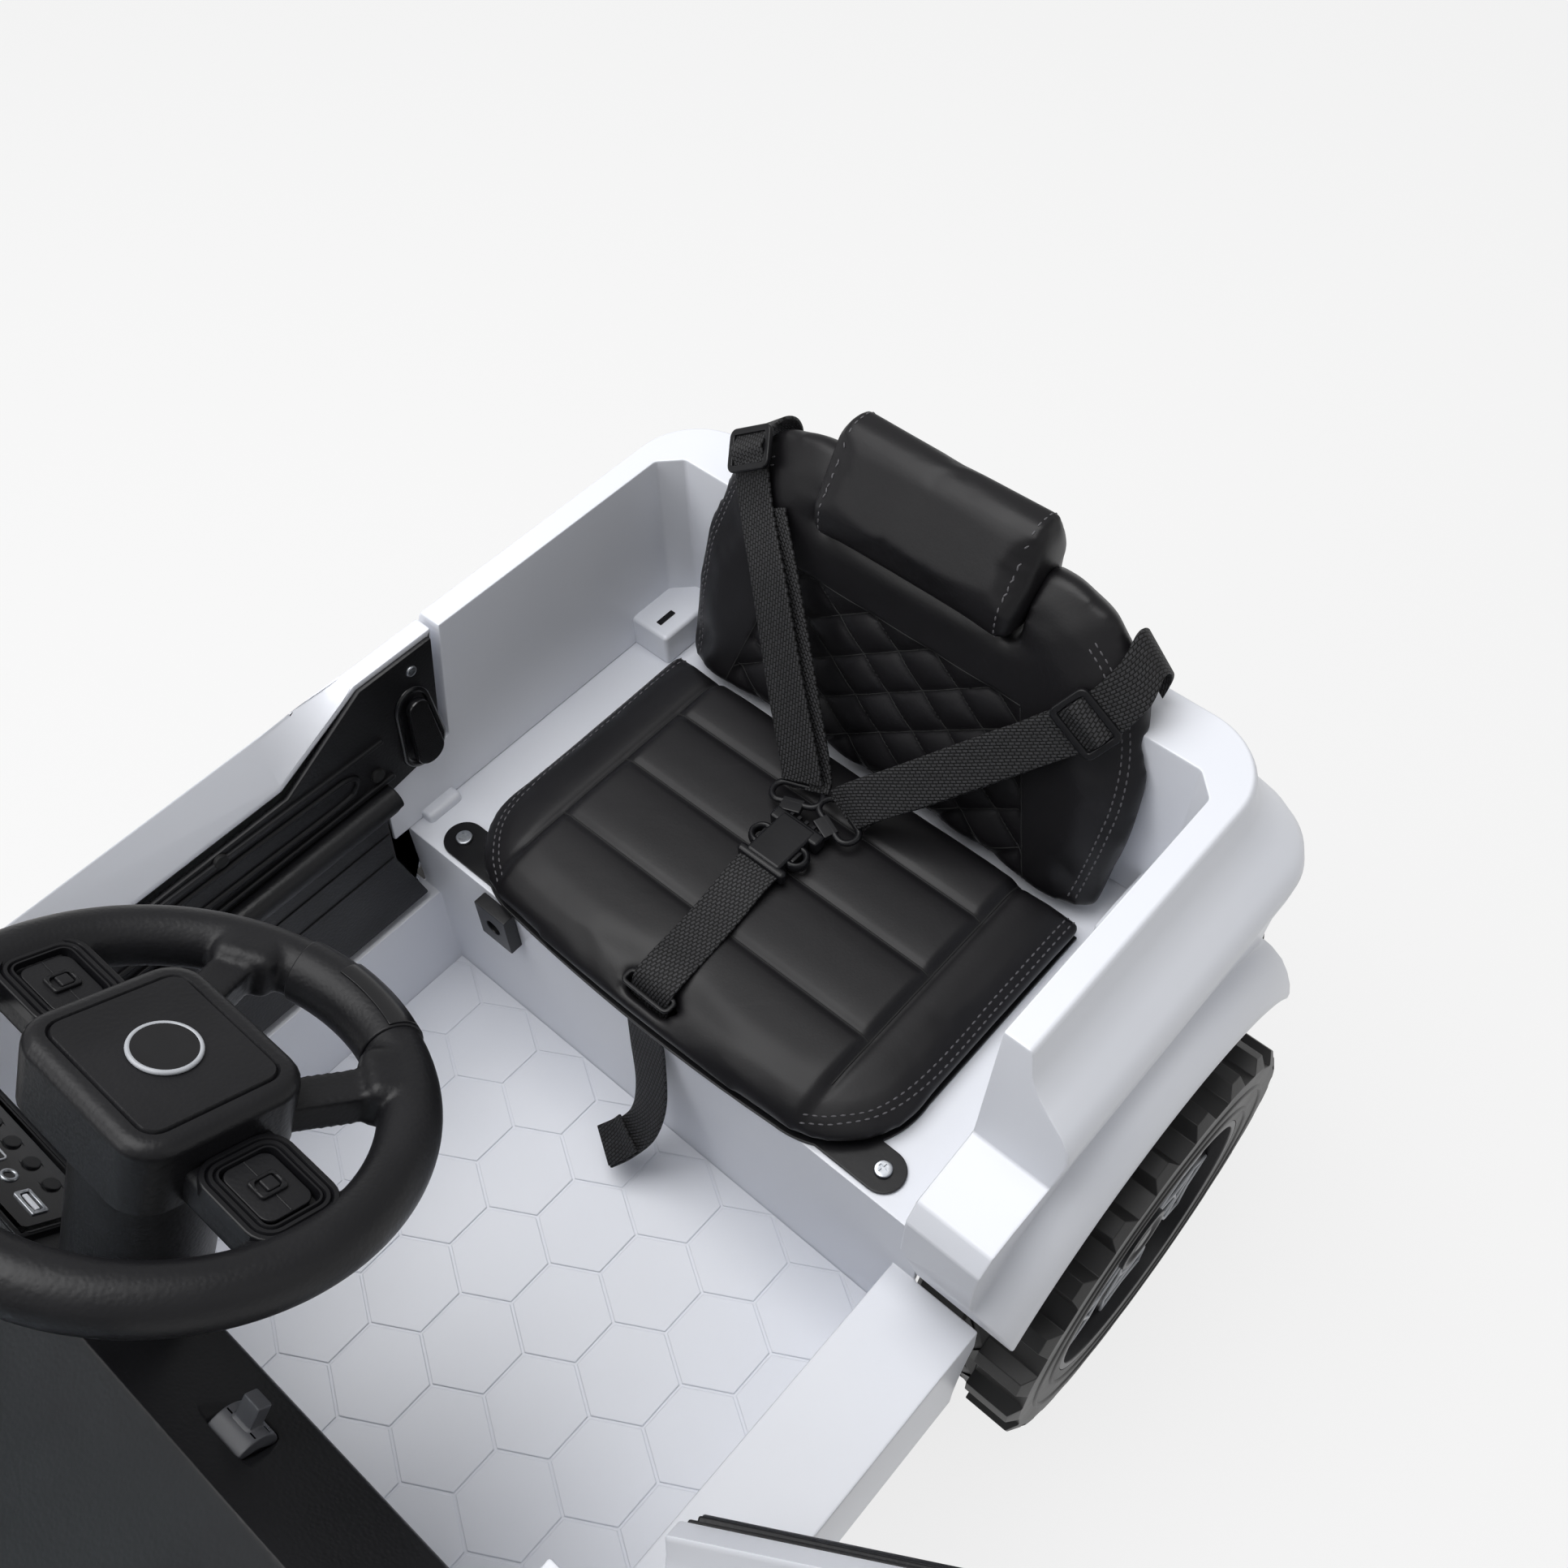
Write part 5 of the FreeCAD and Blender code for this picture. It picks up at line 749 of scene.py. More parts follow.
def round_uprights(piece, high, corner, steps):
    """Rounds the upright edges of a box of the given height."""
    alone(piece)
    bpy.ops.object.mode_set(mode="EDIT")
    bpy.ops.mesh.select_mode(type="EDGE")
    bpy.ops.mesh.select_all(action="DESELECT")
    done_editing()
    for line in piece.data.edges:
        a, b = (piece.data.vertices[i].co for i in line.vertices)
        line.select = abs(a.z - b.z) > high * mm / 2
    bpy.ops.object.mode_set(mode="EDIT")
    bpy.ops.mesh.bevel(offset=corner * mm, segments=steps)
    bpy.ops.mesh.select_mode(type="FACE")
    done_editing()


def make_frame(name, wide, long, thick, border, corner):
    """A flat moulded frame about the origin, with rounded corners and a window."""
    piece = start(name, bpy.ops.mesh.primitive_cube_add, size=1, scale=(wide * mm, long * mm, thick * mm))
    round_uprights(piece, thick, corner, 4)
    pick(piece, lambda centre, normal: abs(normal.z) > 0.9)
    bpy.ops.mesh.inset(thickness=border * mm)
    bpy.ops.mesh.bridge_edge_loops()
    done_editing()
    return rounded(piece, min(1.0, thick / 3), 3)


def frame_at(middle, across, normal):
    """A matrix that lays a flat piece at a place, by its width way and its upward way."""
    across = Vector(across).normalized()
    normal = (Vector(normal) - across * Vector(normal).dot(across)).normalized()
    turn = Matrix((across, normal.cross(across), normal)).transposed().to_4x4()
    return Matrix.Translation(Vector(middle) * mm) @ turn


def make_slider(name, middle, across, normal):
    """A strap slider: a rounded frame with the webbing folded over its middle bar."""
    ladder = make_frame(name, wide=36, long=26, thick=3.2, border=4.2, corner=5)
    bar = block("bar", (30, 4.5, 2.6), (0, 0, 0), 0.8, 2)
    ladder = joined(name, [ladder, bar])
    ladder.data.transform(frame_at(middle, across, normal))
    over = [((0, y, z), (1, 0, 0)) for y, z in ((-12, -1.6), (-7, -0.4), (0, 2.8), (7, -0.4), (12, -1.6))]
    fold = strip(name + "_fold", over, tail_wide, fold_thick, 8)
    fold.data.transform(frame_at(middle, across, normal))
    dressed(fold, "chassis", "webbing", webbing)
    return ladder


sliders = [make_slider("strap_slider_right", (-125.5, 416, 472.5), (0.82, 0.08, 0.56), (-0.3, -0.72, 0.62)),
           make_slider("strap_slider_left", (124.3, 400.8, 434.5), (0.84, -0.02, -0.54), (0.22, -0.86, 0.45))]
dressed(joined("strap_slider_frames", sliders), "chassis", "gloss_black", satin_black, "strap_sliders")


def make_tongue(name, middle, across):
    """A buckle tongue: a bent loop that the webbing turns round, on a flat foot."""
    half, deep, round_share = 16, 7, 0.45
    r = deep * round_share * 2
    outline = []
    corners = ((half, deep, 0), (-half, deep, 90), (-half, -deep, 180), (half, -deep, 270))
    for corner_x, corner_y, first in corners:
        for step in range(6):
            angle = math.radians(first + 18 * step)
            outline.append(Vector((math.copysign(half - r, corner_x) + r * math.cos(angle),
                                   math.copysign(deep - r, corner_y) + r * math.sin(angle), 0)) * mm)
    loop = rods(name, [outline], 2.1, closed=True)
    foot = block("foot", (14, 10, 4), (0, -9, 0), 1.0, 2)
    piece = joined(name, [loop, foot])
    piece.data.transform(frame_at(middle, across, (0, 0, 1)))
    return piece


tongues = [make_tongue("buckle_loop_right", (-13, 325, 330), (0.92, 0.3, 0.1)),
           make_tongue("buckle_loop_left", (18, 326, 330), (0.92, -0.32, -0.1))]
dressed(joined("buckle_loops", tongues), "chassis", "gloss_black", satin_black, "buckle_tongues")


def make_buckle():
    """Side-release buckle: a flat waisted body, two hooked prongs, a comb of slots and a strap bar."""
    x, y, z = 2, 294, 327
    parts = [block("buckle_shell", (25, 34, 11), (x, y - 1, z), 2.0, 3),
             block("head", (36, 9, 10), (x, y + 13, z), 1.8, 3),
             block("bar", (35, 6, 9), (x, y - 18, z), 2.2, 3)]
    for side in (-1, 1):
        arm = start("arm", bpy.ops.mesh.primitive_torus_add, major_segments=28, minor_segments=10,
                    major_radius=6.2 * mm, minor_radius=2.1 * mm,
                    location=((x + side * 13.2) * mm, (y - 3) * mm, z * mm))
        arm.data.transform(Matrix.Translation((0, 0, z * mm)) @ Matrix.Diagonal((1, 1, 1.9, 1))
                           @ Matrix.Translation((0, 0, -z * mm)))
        bpy.ops.object.shade_smooth()
        parts.append(arm)
        parts.append(block("prong", (4.2, 9, 5.5), (x + side * 12.6, y - 3, z), 1.2, 2))
    for index in range(6):
        parts.append(block("tooth", (2.6, 6, 2.4), (x + (index - 2.5) * 5.4, y + 17, z + 3), 0.7, 2))
    return joined("buckle_shell", parts)


dressed(make_buckle(), "chassis", "gloss_black", satin_black, "buckle_body")
slot_lip = make_frame("crotch_slot_lip", wide=36, long=11, thick=2.4, border=2.6, corner=4)
slot_lip.data.transform(Matrix.Translation(Vector((5.5, 177, 315.5)) * mm))
dressed(slot_lip, "chassis", "gloss_black", satin_black)


# Screws

def make_screw(name, place, radius, turn=0.5):
    """A domed cross-head screw."""
    head = start(name, bpy.ops.mesh.primitive_cylinder_add, vertices=28, radius=radius * mm, depth=2.2 * mm)
    rounded(head, 0.9, 4)
    for index in range(2):
        slot_cut = start("slot", bpy.ops.mesh.primitive_cube_add, size=1,
                         scale=(radius * 1.15 * mm, radius * 0.3 * mm, 1.6 * mm), location=(0, 0, 1.0 * mm),
                         rotation=(0, 0, turn + index * math.pi / 2))
        shaped(head, "BOOLEAN", operation="DIFFERENCE", object=slot_cut)
        bpy.data.objects.remove(slot_cut)
    head.data.transform(place)
    return head


screws = []
for side in (-1, 1):
    place = Matrix.Translation(Vector((side * 165, 188, 293.6)) * mm)
    screws.append(make_screw("seat_screw_heads", place, 5.2, 0.4 + side))
dressed(joined("seat_screw_heads", screws), "chassis", "steel", steel, "seat_screws")


# Cabin floor and white mouldings

def make_floor_tiles():
    """The floor's raised hexagons, with narrow grooves between them, as far as the floor reaches."""
    side, groove, thick, level = 31.5, 0.9, 0.9, 150.3
    first_x, first_y = -67.25, 139.3
    seed = start("floor_hexagons", bpy.ops.mesh.primitive_cylinder_add, vertices=6,
                 radius=(side - groove) * mm, depth=thick * mm)
    pick(seed, lambda centre, normal: normal.z > 0.9)
    bpy.ops.mesh.inset(thickness=0.5 * mm)
    bpy.ops.transform.translate(value=(0, 0, 0.25 * mm))
    done_editing()
    across = side * math.sqrt(3)
    tiles = []
    for row in range(-9, 3):
        for column in range(-4, 7):
            x = first_x + across * (column + (0.5 if row % 2 else 0))
            y = first_y + 1.5 * side * row
            reach = 214 if y > -60 else 130 if y > -100 else 118
            if abs(x) < reach and -205 < y < 200:
                tiles.append(copied(seed, "tile", Matrix.Translation(Vector((x, y, level)) * mm)))
    bpy.data.objects.remove(seed)
    piece = joined("floor_hexagons", tiles)
    for spot, way in (((186.6, 0, 0), (1, 0, 0)), ((-186.6, 0, 0), (-1, 0, 0)),
                      ((0, 171.6, 0), (0, 1, 0)), ((0, -219, 0), (0, -1, 0))):
        cut_off(piece, spot, way)
    return piece


dressed(make_floor_tiles(), "chassis", "white_plastic", white)
stops = [block("sill_stops", (22, 26, 9), (side * 201, 196, 292.5), 3.0, 4) for side in (-1, 1)]
dressed(joined("sill_stops", stops), "chassis", "white_plastic", white)
shelves = [block("belt_shelves", (40, 56, 26), (side * 188, 400, 302), 3.0, 4) for side in (-1, 1)]
dressed(joined("belt_shelves", shelves), "chassis", "white_plastic", white)
# Each belt slot's opening is a thin near-black block on the shelf top: painted shade standing for the dark
# inside of the slot.
mouths = [block("belt_slots", (4, 14, 1.4), (side * 181, 386, 315.2), 0.4, 2) for side in (-1, 1)]
dressed(joined("belt_slots", mouths), "chassis", "black_plastic", satin_black)


# Steering wheel

tilt = math.radians(27.8)
wheel_frame = Matrix(((1, 0, 0, 0), (0, math.cos(tilt), math.sin(tilt), -58 * mm),
                      (0, -math.sin(tilt), math.cos(tilt), 544 * mm), (0, 0, 0, 1)))
rim_radius, sleeve_radius, plate_radius = 95, 14.1, 14.4
pod_x, button_x = 66, 65


def make_steering_rim():
    """The rim and spokes, with the blocks where the lower spokes meet the rim, melted into one."""
    parts = [taken("steering_moulding", "steering_rim")]
    for side in (-1, 1):
        knee = block("knee", (27, 29, 23), (0, 0, 0), 6.0, 3)
        turn = Matrix.Rotation(math.pi / 2 - side * 0.55, 4, "Z")
        knee.data.transform(wheel_frame @ turn @ Matrix.Translation(Vector((89, 0, 1)) * mm))
        parts.append(knee)
    piece = joined("steering_moulding", parts)
    shaped(piece, "REMESH", mode="VOXEL", voxel_size=1.6 * mm)
    shaped(piece, "SMOOTH", factor=0.5, iterations=5)
    bpy.ops.object.shade_smooth()
    return piece


def make_rim_sleeve():
    """The thicker grip between the lower spokes, parted from the rim by a seam at each end."""
    sleeve = start("rim_sleeve", bpy.ops.mesh.primitive_torus_add, major_segments=120, minor_segments=28,
                   major_radius=rim_radius * mm, minor_radius=sleeve_radius * mm)
    for degrees, way in ((72, 1), (108, -1)):
        angle = math.radians(degrees)
        cut_off(sleeve, (0, 0, 0), (way * math.sin(angle), -way * math.cos(angle), 0))
    rounded(sleeve, 0.8, 3, 50)
    sleeve.data.transform(wheel_frame)
    return sleeve


def rounded_plate(name, wide, long, low, high, corner, edge):
    """A plate between two levels with rounded upright corners and softened edges."""
    piece = start(name, bpy.ops.mesh.primitive_cube_add, size=1,
                  scale=(wide * mm, long * mm, (high - low) * mm), location=(0, 0, (low + high) / 2 * mm))
    round_uprights(piece, high - low, corner, 6)
    pick(piece, lambda centre, normal: normal.z > 0.9)
    bpy.ops.mesh.bevel(offset=edge * mm, segments=4, affect="EDGES")
    done_editing()
    return piece


def grooved(piece, *steps):
    """Insets the top face again and again, each time raised or sunk."""
    for width, rise in steps:
        highest = max((f for f in piece.data.polygons if f.normal.z > 0.9), key=lambda f: f.area).index
        pick(piece, lambda centre, normal: False)
        done_editing()
        piece.data.polygons[highest].select = True
        bpy.ops.object.mode_set(mode="EDIT")
        bpy.ops.mesh.inset(thickness=width * mm)
        bpy.ops.transform.translate(value=(0, 0, rise * mm))
        done_editing()
    alone(piece)
    bpy.ops.object.shade_smooth_by_angle(angle=math.radians(28))
    return shaped(piece, "WEIGHTED_NORMAL", keep_sharp=True)


def make_hub_cover():
    """The deep padded hub: a soft-cornered block with a groove round its raised face."""
    piece = rounded_plate("steering_hub_shell", wide=86, long=77, low=-9, high=24, corner=16, edge=6)
    grooved(piece, (2.2, 0), (0.9, -1.3), (0.9, 1.7))
    piece.data.transform(wheel_frame)
    return piece


def make_badge():
    """A bare round boss with a bright ring, in the middle of the hub."""
    ring = start("hub_ring", bpy.ops.mesh.primitive_torus_add, major_segments=56, minor_segments=10,
                 major_radius=13.2 * mm, minor_radius=1.1 * mm, location=(0, 0, 25.3 * mm))
    bpy.ops.object.shade_smooth()
    ring.data.transform(wheel_frame)
    disc = start("hub_disc", bpy.ops.mesh.primitive_cylinder_add, vertices=56, radius=13 * mm, depth=1.8 * mm,
                 location=(0, 0, 25.2 * mm))
    rounded(disc, 0.5, 2)
    disc.data.transform(wheel_frame)
    return ring, disc


def make_pod_frame(name, side):
    """The stepped frame round a button pod, ribbed towards the rim."""
    piece = rounded_plate(name, wide=46, long=39, low=4, high=10, corner=11, edge=0.8)
    step, rib = (1.4, 0), ((0.7, -1.3), (0.7, 1.3))
    grooved(piece, step, *rib, step, *rib, (0.8, 0), (0.6, -4.6))
    piece.data.transform(wheel_frame @ Matrix.Translation(Vector((side * pod_x, 0, 0)) * mm))
    return piece


def make_pod_button(name, side):
    """The pod's press plate, with a small rocker in a square frame and two fine parting lines."""
    plate = rounded_plate(name, wide=29, long=22, low=7.5, high=8.6, corner=5, edge=0.6)
    bezel = make_frame("bezel", wide=10, long=12, thick=2.2, border=1.6, corner=1.5)
    bezel.data.transform(Matrix.Translation(Vector((0, 0, 9.2)) * mm))
    rocker = block("rocker", (6.2, 5.6, 2.6), (0, 0.8, 9.0), 0.8, 3)
    lines = [block("line", (9, 0.7, 0.6), (way * 9.5, 0, 8.7), 0.2, 1) for way in (-1, 1)]
    alone(plate)
    bpy.ops.object.shade_smooth_by_angle(angle=math.radians(28))
    piece = joined(name, [plate, bezel, rocker] + lines)
    piece.data.transform(wheel_frame @ Matrix.Translation(Vector((side * button_x, 0, 0)) * mm))
    return piece


def make_rim_plate():
    """A bare inset plate on the rim, curved with it."""
    plate = start("rim_plate", bpy.ops.mesh.primitive_grid_add, x_subdivisions=14, y_subdivisions=4, size=1)
    for corner in plate.data.vertices:
        angle = math.radians(84) + corner.co.x * math.radians(23)
        lean_in = corner.co.y * math.radians(52) + math.radians(78)
        ring = rim_radius + plate_radius * math.cos(lean_in)
        height = plate_radius * math.sin(lean_in)
        corner.co = Vector((ring * math.cos(angle), ring * math.sin(angle), height)) * mm
    shaped(plate, "SOLIDIFY", thickness=1.4 * mm, offset=0)
    rounded(plate, 0.4, 2)
    plate.data.transform(wheel_frame)
    return plate


dressed(make_steering_rim(), "steering", "black_plastic", black, "steering_rim")
dressed(make_rim_sleeve(), "steering", "black_plastic", black)
dressed(make_hub_cover(), "steering", "black_plastic", black, "steering_hub_cover")
ring, disc = make_badge()
dressed(ring, "steering", "key_plastic", silver)
dressed(disc, "steering", "gloss_black", gloss_black)
dressed(make_rim_plate(), "steering", "gloss_black", gloss_black)
for side, name in ((1, "left"), (-1, "right")):
    dressed(make_pod_frame("pod_frame_" + name, side), "steering", "black_plastic", satin_black)
    button = make_pod_button("pod_button_" + name, side)
    dressed(button, "horn_" + name, "black_plastic", black, "horn_button_" + name)


# Radio

slope = math.atan2(38, 39)
radio_frame = Matrix.Translation(Vector((-82, -114.5, 457)) * mm) @ Matrix.Rotation(-slope, 4, "X")
window_x, port_x, row_y = -15, 29, -6


def make_digits():
    """Four plain seven-bar digits with a colon."""
    bars = []
    for place in (-9.6, -4.2, 4.2, 9.6):
        for y in (-3.4, 0, 3.4):
            bars.append(block("display_digits", (2.4, 0.6, 0.4), (place, y, 0), 0.15, 1))
        for x in (-1.6, 1.6):
            for y in (-1.7, 1.7):
                bars.append(block("display_digits", (0.6, 2.4, 0.4), (place + x, y, 0), 0.15, 1))
    for y in (-1.5, 1.5):
        bars.append(block("display_digits", (0.7, 0.7, 0.4), (0, y, 0), 0.15, 1))
    return joined("display_digits", bars)


def on_radio(piece, x, y, z):
    """Sets a piece down on the sloping radio panel."""
    piece.data.transform(radio_frame @ Matrix.Translation(Vector((x, y, z)) * mm))
    return piece


plate = rounded_plate("radio_plate", wide=83, long=35, low=0.6, high=3.6, corner=3, edge=0.5)
bpy.ops.object.shade_smooth_by_angle(angle=math.radians(28))
dressed(on_radio(plate, 0, 0, 0), "chassis", "gloss_black", gloss_black, "radio_panel")
window = block("display_window", (31, 11.5, 1), (0, 0, 0), 0.4, 2)
dressed(on_radio(window, window_x, row_y, 3.6), "chassis", "gloss_black", screen_glass)
border = make_frame("display_border", wide=33, long=13.5, thick=1.1, border=0.9, corner=2)
dressed(on_radio(border, window_x, row_y, 3.8), "chassis", "key_plastic", silver)
dressed(on_radio(make_digits(), window_x, row_y, 4.2), "chassis", "red_lens", digit_glow)
mouth = make_frame("port_mouth", wide=15, long=8, thick=1.4, border=1.6, corner=1)
dressed(on_radio(mouth, port_x, row_y, 3.9), "chassis", "steel", steel)
tongue = block("port_tongue", (10, 2.2, 1), (0, 0, 0), 0.3, 2)
dressed(on_radio(tongue, port_x, row_y, 3.9), "chassis", "white_plastic", white)
jack = start("jack_ring", bpy.ops.mesh.primitive_torus_add, major_segments=28, minor_segments=8,
             major_radius=3.2 * mm, minor_radius=0.9 * mm)
bpy.ops.object.shade_smooth()
dressed(on_radio(jack, 11, -5, 3.8), "chassis", "steel", steel)


# Door linings

hinge = Vector((240, -58, 0)) * mm
swing = Matrix.Rotation(math.radians(-60), 4, "Z")
left_door = Matrix.Translation(hinge) @ swing @ Matrix.Translation(-hinge)
right_door = Matrix.Diagonal((-1, 1, 1, 1))
lining_x = 196.2
apron_x = 188.4
lever_y, lever_z, lever_lift = 198, 352, 2.2


def make_moulding(name, points, x, wide, deep):
    """A rounded rib that follows straight runs of (y, z) on the left door's lining."""
    parts = []
    for (y0, z0), (y1, z1) in zip(points, points[1:]):
        run = math.hypot(y1 - y0, z1 - z0)
        rib = start(name, bpy.ops.mesh.primitive_cube_add, size=1,
                    scale=(deep * mm, (run + wide * 0.6) * mm, wide * mm))
        rounded(rib, min(wide, deep) * 0.3, 3)
        rib.data.transform(Matrix.Translation(Vector((x, (y0 + y1) / 2, (z0 + z1) / 2)) * mm)
                           @ Matrix.Rotation(math.atan2(z1 - z0, y1 - y0), 4, "X"))
        parts.append(rib)
    return joined(name, parts)


def make_recess_lip(name):
    """The raised lip round the long hand recess, rounded at its rear end."""
    outline = [(-46, 376), (60, 374), (128, 371), (143, 370), (150, 365), (147, 358), (134, 355),
               (60, 357), (-46, 359)]
    line = smooth_line([Vector((lining_x, y, z)) * mm for y, z in outline], 6)
    return rods(name, [line], 2.0)


def make_lever_bezel(name):
    """The flat teardrop rim of the well that the door lever lies over."""
    bezel = start(name, bpy.ops.mesh.primitive_torus_add, major_segments=48, minor_segments=10,
                  major_radius=14 * mm, minor_radius=2.4 * mm)
    for corner in bezel.data.vertices:
        corner.co.z *= 0.7
        if corner.co.y > 0:
            corner.co.y += 33 * mm
            corner.co.x *= 0.8
    bpy.ops.object.shade_smooth()
    bezel.data.transform(Matrix(((0, 0, 1, lining_x * mm), (1, 0, 0, lever_y * mm),
                                 (0, 1, 0, lever_z * mm), (0, 0, 0, 1))))
    return bezel


def made_outward(piece, place):
    """Moves a lining detail to its door and turns its faces outwards again after a mirror."""
    piece.data.transform(place)
    edit_all(piece)
    bpy.ops.mesh.normals_make_consistent(inside=False)
    done_editing()
    return piece


def lift_lever(name, place):
    """Lifts the door lever clear of its bezel, so that it can turn; its pin stays in the lining."""
    bpy.context.view_layer.update()
    lever = bpy.data.objects["moulded_door_latch_" + name]
    to_closed = place.inverted() @ lever.matrix_world
    for corner in lever.data.vertices:
        spot = to_closed @ corner.co
        if spot.x < (lining_x + 0.1) * mm:
            corner.co = to_closed.inverted() @ (spot - Vector((lever_lift, 0, 0)) * mm)


def dress_door(name, place):
    """The lining's rail, hand recess, ledge, apron lines, holes (near-black discs of painted shade) and
    screw, and the lever's bezel.
    """
    body = "door_" + name
    ribs = [make_moulding("rail", [(-46, 386), (172, 379)], lining_x, 3.4, 3.6),
            make_moulding("ledge", [(-46, 349), (172, 347)], lining_x, 4, 4.4),
            make_moulding("line", [(-48, 313), (153, 313)], apron_x, 1.6, 1.4),
            make_moulding("line", [(-48, 291), (151, 291)], apron_x, 1.6, 1.4), make_recess_lip("lip")]
    dressed(made_outward(joined("lining_ribs_" + name, ribs), place), body, "black_plastic", black)
    # The holes are near-black rounded discs set into the lining: painted shade standing for their dark
    # insides.
    holes = []
    for y, z in ((60, 383), (163, 356)):
        hole = start("hole", bpy.ops.mesh.primitive_cylinder_add, vertices=24, radius=4.4 * mm,
                     depth=4.4 * mm, location=Vector((lining_x, y, z)) * mm, rotation=(0, math.pi / 2, 0))
        holes.append(rounded(hole, 0.4, 2))
    dressed(made_outward(joined("lining_holes_" + name, holes), place), body, "black_plastic", seam_and_hole_shade)
    turn = Matrix.Translation(Vector((lining_x, 204, 412)) * mm) @ Matrix.Rotation(-math.pi / 2, 4, "Y")
    screw = make_screw("lining_screw_" + name, turn, 3.6)
    dressed(made_outward(screw, place), body, "steel", steel)
    dressed(made_outward(make_lever_bezel("lever_bezel_" + name), place), body, "gloss_black", gloss_black)
    lift_lever(name, place)


dress_door("left", left_door)
dress_door("right", right_door)


# Wheel trims

axle_level = 140
axles = (("front", -310), ("rear", 310))
rib_x, trim_x, cap_x, ridge_x = 267.5, 271.6, 270, 279.4


def wheel_lines():
    """The angular pattern of one wheel's spokes, as runs of (radius, angle)."""
    runs = []
    for index in range(6):
        base = index * math.pi / 3
        for points in (((20, 0.1), (46, 0.3), (66, 0.17), (86, 0.27)),
                       ((20, -0.1), (46, -0.3), (66, -0.17), (86, -0.27)), ((66, 0.17), (66, 0.88)),
                       ((46, 0.3), (56, 0.52), (46, 0.75)), ((86, 0.27), (76, 0.52), (86, 0.78))):
            runs.append([(r, base + a) for r, a in points])
    return runs


def make_wheel_lines(name, side, y, x, radius):
    """Rods along the wheel's spoke pattern, at a distance out from the car's middle."""
    lines = [[Vector((0, r * math.cos(a), r * math.sin(a))) * mm for r, a in run] for run in wheel_lines()]
    trim = rods(name, lines, radius)
    trim.data.transform(Matrix.Translation(Vector((side * x, y, axle_level)) * mm))
    return trim


def make_wheel_cap(name, side, y):
    """A bare stepped centre cap."""
    cap = start(name, bpy.ops.mesh.primitive_cylinder_add, vertices=48, radius=22 * mm, depth=12 * mm)
    pick(cap, lambda centre, normal: normal.z > 0.9)
    for width, rise in ((3, 0), (1, -2), (8, 0), (1.5, 1.5)):
        bpy.ops.mesh.inset(thickness=width * mm)
        bpy.ops.transform.translate(value=(0, 0, rise * mm))
    done_editing()
    rounded(cap, 0.8, 2)
    place = Matrix.Translation(Vector((side * cap_x, y, axle_level)) * mm)
    cap.data.transform(place @ Matrix.Rotation(side * math.pi / 2, 4, "Y"))
    return cap


def make_sidewall(name, side, y):
    """Two moulded ridges round the tyre's outer wall."""
    ridges = []
    for radius in (101, 117):
        ridge = start(name, bpy.ops.mesh.primitive_torus_add, major_segments=96, minor_segments=8,
                      major_radius=radius * mm, minor_radius=1.8 * mm)
        bpy.ops.object.shade_smooth()
        ridges.append(ridge)
    piece = joined(name, ridges)
    place = Matrix.Translation(Vector((side * ridge_x, y, axle_level)) * mm)
    piece.data.transform(place @ Matrix.Rotation(math.pi / 2, 4, "Y"))
    return piece


for end, y in axles:
    for name, side in (("left", 1), ("right", -1)):
        corner = end + "_" + name
        wheel = "wheel_" + corner
        ribs = make_wheel_lines("spoke_ribs_" + corner, side, y, rib_x, 4.4)
        dressed(ribs, wheel, "hub_plastic", dark_grey)
        trim = make_wheel_lines("trim_lines_" + corner, side, y, trim_x, 1.3)
        dressed(trim, wheel, "key_plastic", silver)
        dressed(make_wheel_cap("centre_cap_" + corner, side, y), wheel, "hub_plastic", dark_grey)
        dressed(make_sidewall("sidewall_ridges_" + corner, side, y), wheel, "tyre", tyre_skin)


# Lamps and tailgate

def make_lamp_ring(name, radius, thick, place):
    """A bright ring that frames a lamp on the nose."""
    ring = start(name, bpy.ops.mesh.primitive_torus_add, major_segments=48, minor_segments=10,
                 major_radius=radius * mm, minor_radius=thick * mm)
    bpy.ops.object.shade_smooth()
    ring.data.transform(Matrix.Translation(Vector(place) * mm) @ Matrix.Rotation(math.pi / 2, 4, "X"))
    return ring


rings = []
ribs = []
for side in (-1, 1):
    rings.append(make_lamp_ring("lamp_rings", 15, 1.8, (side * 172, -553.6, 347)))
    rings.append(make_lamp_ring("lamp_rings", 8, 1.4, (side * 203, -550.5, 347)))
    for level in (300, 320, 340):
        ribs.append(block("tail_lamp_ribs", (48, 2.6, 3.4), (side * 189.5, 476.2, level), 0.9, 3))
dressed(joined("lamp_rings", rings), "chassis", "key_plastic", silver)
dressed(joined("tail_lamp_ribs", ribs), "chassis", "red_lens", red_lens)
grip = block("tailgate_grip", (104, 9, 20), (0, 473.5, 336), 3.0, 4)
dressed(grip, "chassis", "black_plastic", black)


# Stage, light and camera

floor_glow = 0.8
world_light, world_seen = 0.44, 1.0
photo_turns = (42.82824, 53.264265, 2.0265)
photo_place = (0.37134, -0.10135, 1.1098)
photo_lens, photo_sensor = 37.494, 36


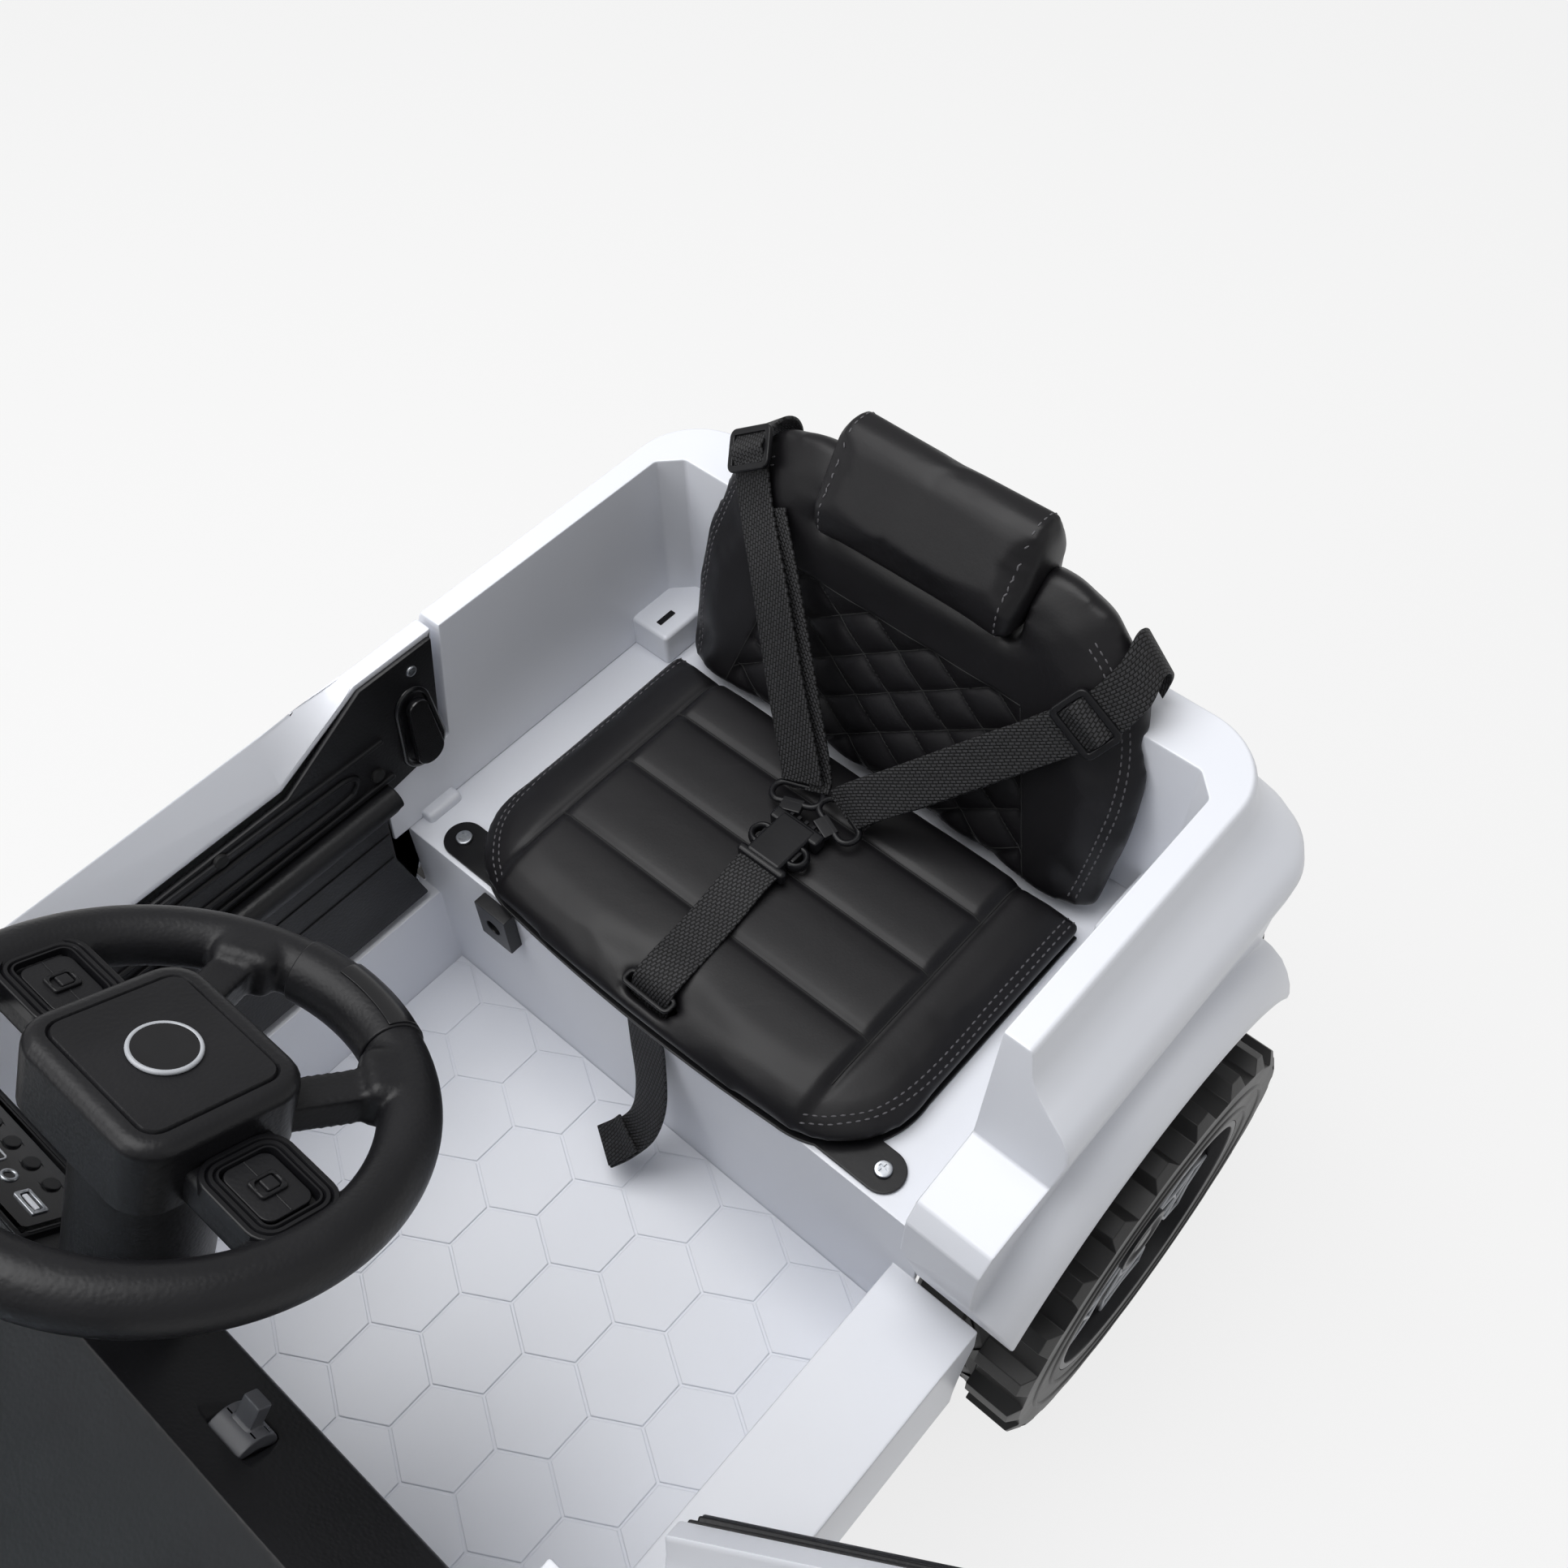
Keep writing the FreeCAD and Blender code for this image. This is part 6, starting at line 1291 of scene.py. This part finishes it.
def pale_floor():
    """Even pale paint that keeps the soft shadow, and looks near white to the camera."""
    made, tree, shader = surface("pale_floor", Base_Color=linear("#CFCFCF"), Roughness=0.9)
    ray = node(tree, "LightPath")
    sees = node(tree, "Math", {0: ray.outputs["Is Camera Ray"], 1: ray.outputs["Is Glossy Ray"]},
                operation="MAXIMUM")
    sees = node(tree, "Math", {0: sees.outputs[0], 1: ray.outputs["Is Transmission Ray"]},
                operation="MAXIMUM")
    share = node(tree, "Math", {0: sees.outputs[0], 1: floor_glow}, operation="MULTIPLY")
    glow = node(tree, "Emission", {"Color": (1, 1, 1, 1), "Strength": 1.0})
    mix = node(tree, "MixShader", {0: share.outputs[0], 1: shader.outputs[0], 2: glow.outputs[0]})
    tree.links.new(mix.outputs[0], tree.nodes["Material Output"].inputs["Surface"])
    return made


ground = start("studio_floor", bpy.ops.mesh.primitive_plane_add, size=14, location=(0, 0, -0.4 * mm))
ground.data.materials.append(pale_floor())

world = bpy.data.worlds.new("studio")
scene.world = world
world.use_nodes = True
tree = world.node_tree
ray = node(tree, "LightPath")
sees = node(tree, "Math", {0: ray.outputs["Is Camera Ray"], 1: ray.outputs["Is Transmission Ray"]},
            operation="MAXIMUM")
level = node(tree, "MapRange", {"Value": sees.outputs[0], "To Min": world_light, "To Max": world_seen})
tree.links.new(level.outputs["Result"], tree.nodes["Background"].inputs["Strength"])
tree.nodes["Background"].inputs["Color"].default_value = (1, 1, 1, 1)


def lamp(name, place, aim, size, power):
    """A square soft lamp that looks at a place."""
    light = bpy.data.lights.new(name, "AREA")
    light.size = size
    light.energy = power
    made = bpy.data.objects.new(name, light)
    scene.collection.objects.link(made)
    made.location = place
    made.rotation_euler = (Vector(aim) - Vector(place)).to_track_quat("-Z", "Y").to_euler()


lamp("overhead_softbox", (-0.45, -0.1, 2.3), (0, 0.05, 0.3), size=1.7, power=38)
lamp("front_softbox", (-0.9, -1.9, 1.7), (0, 0.1, 0.35), size=1.2, power=15)
lamp("side_softbox", (2.2, 0.8, 1.5), (0, 0.1, 0.3), size=1.2, power=2)


def photo_camera():
    """The camera at the photograph's solved place, turn and lens."""
    azimuth, elevation, roll = (math.radians(v) for v in photo_turns)
    level = math.cos(elevation)
    away = Vector((math.sin(azimuth) * level, -math.cos(azimuth) * level, math.sin(elevation)))
    ahead = -away
    level_right = ahead.cross(Vector((0, 0, 1))).normalized()
    level_down = ahead.cross(level_right)
    right = level_right * math.cos(roll) + level_down * math.sin(roll)
    down = level_down * math.cos(roll) - level_right * math.sin(roll)
    lens = bpy.data.cameras.new("photo_camera")
    lens.lens = photo_lens
    lens.sensor_width = photo_sensor
    made = bpy.data.objects.new("photo_camera", lens)
    scene.collection.objects.link(made)
    turn = Matrix((right, -down, away)).transposed().to_4x4()
    made.matrix_world = Matrix.Translation(photo_place) @ turn
    return made


scene.camera = photo_camera()
scene.view_settings.view_transform = "Standard"

bpy.ops.object.select_all(action="DESELECT")
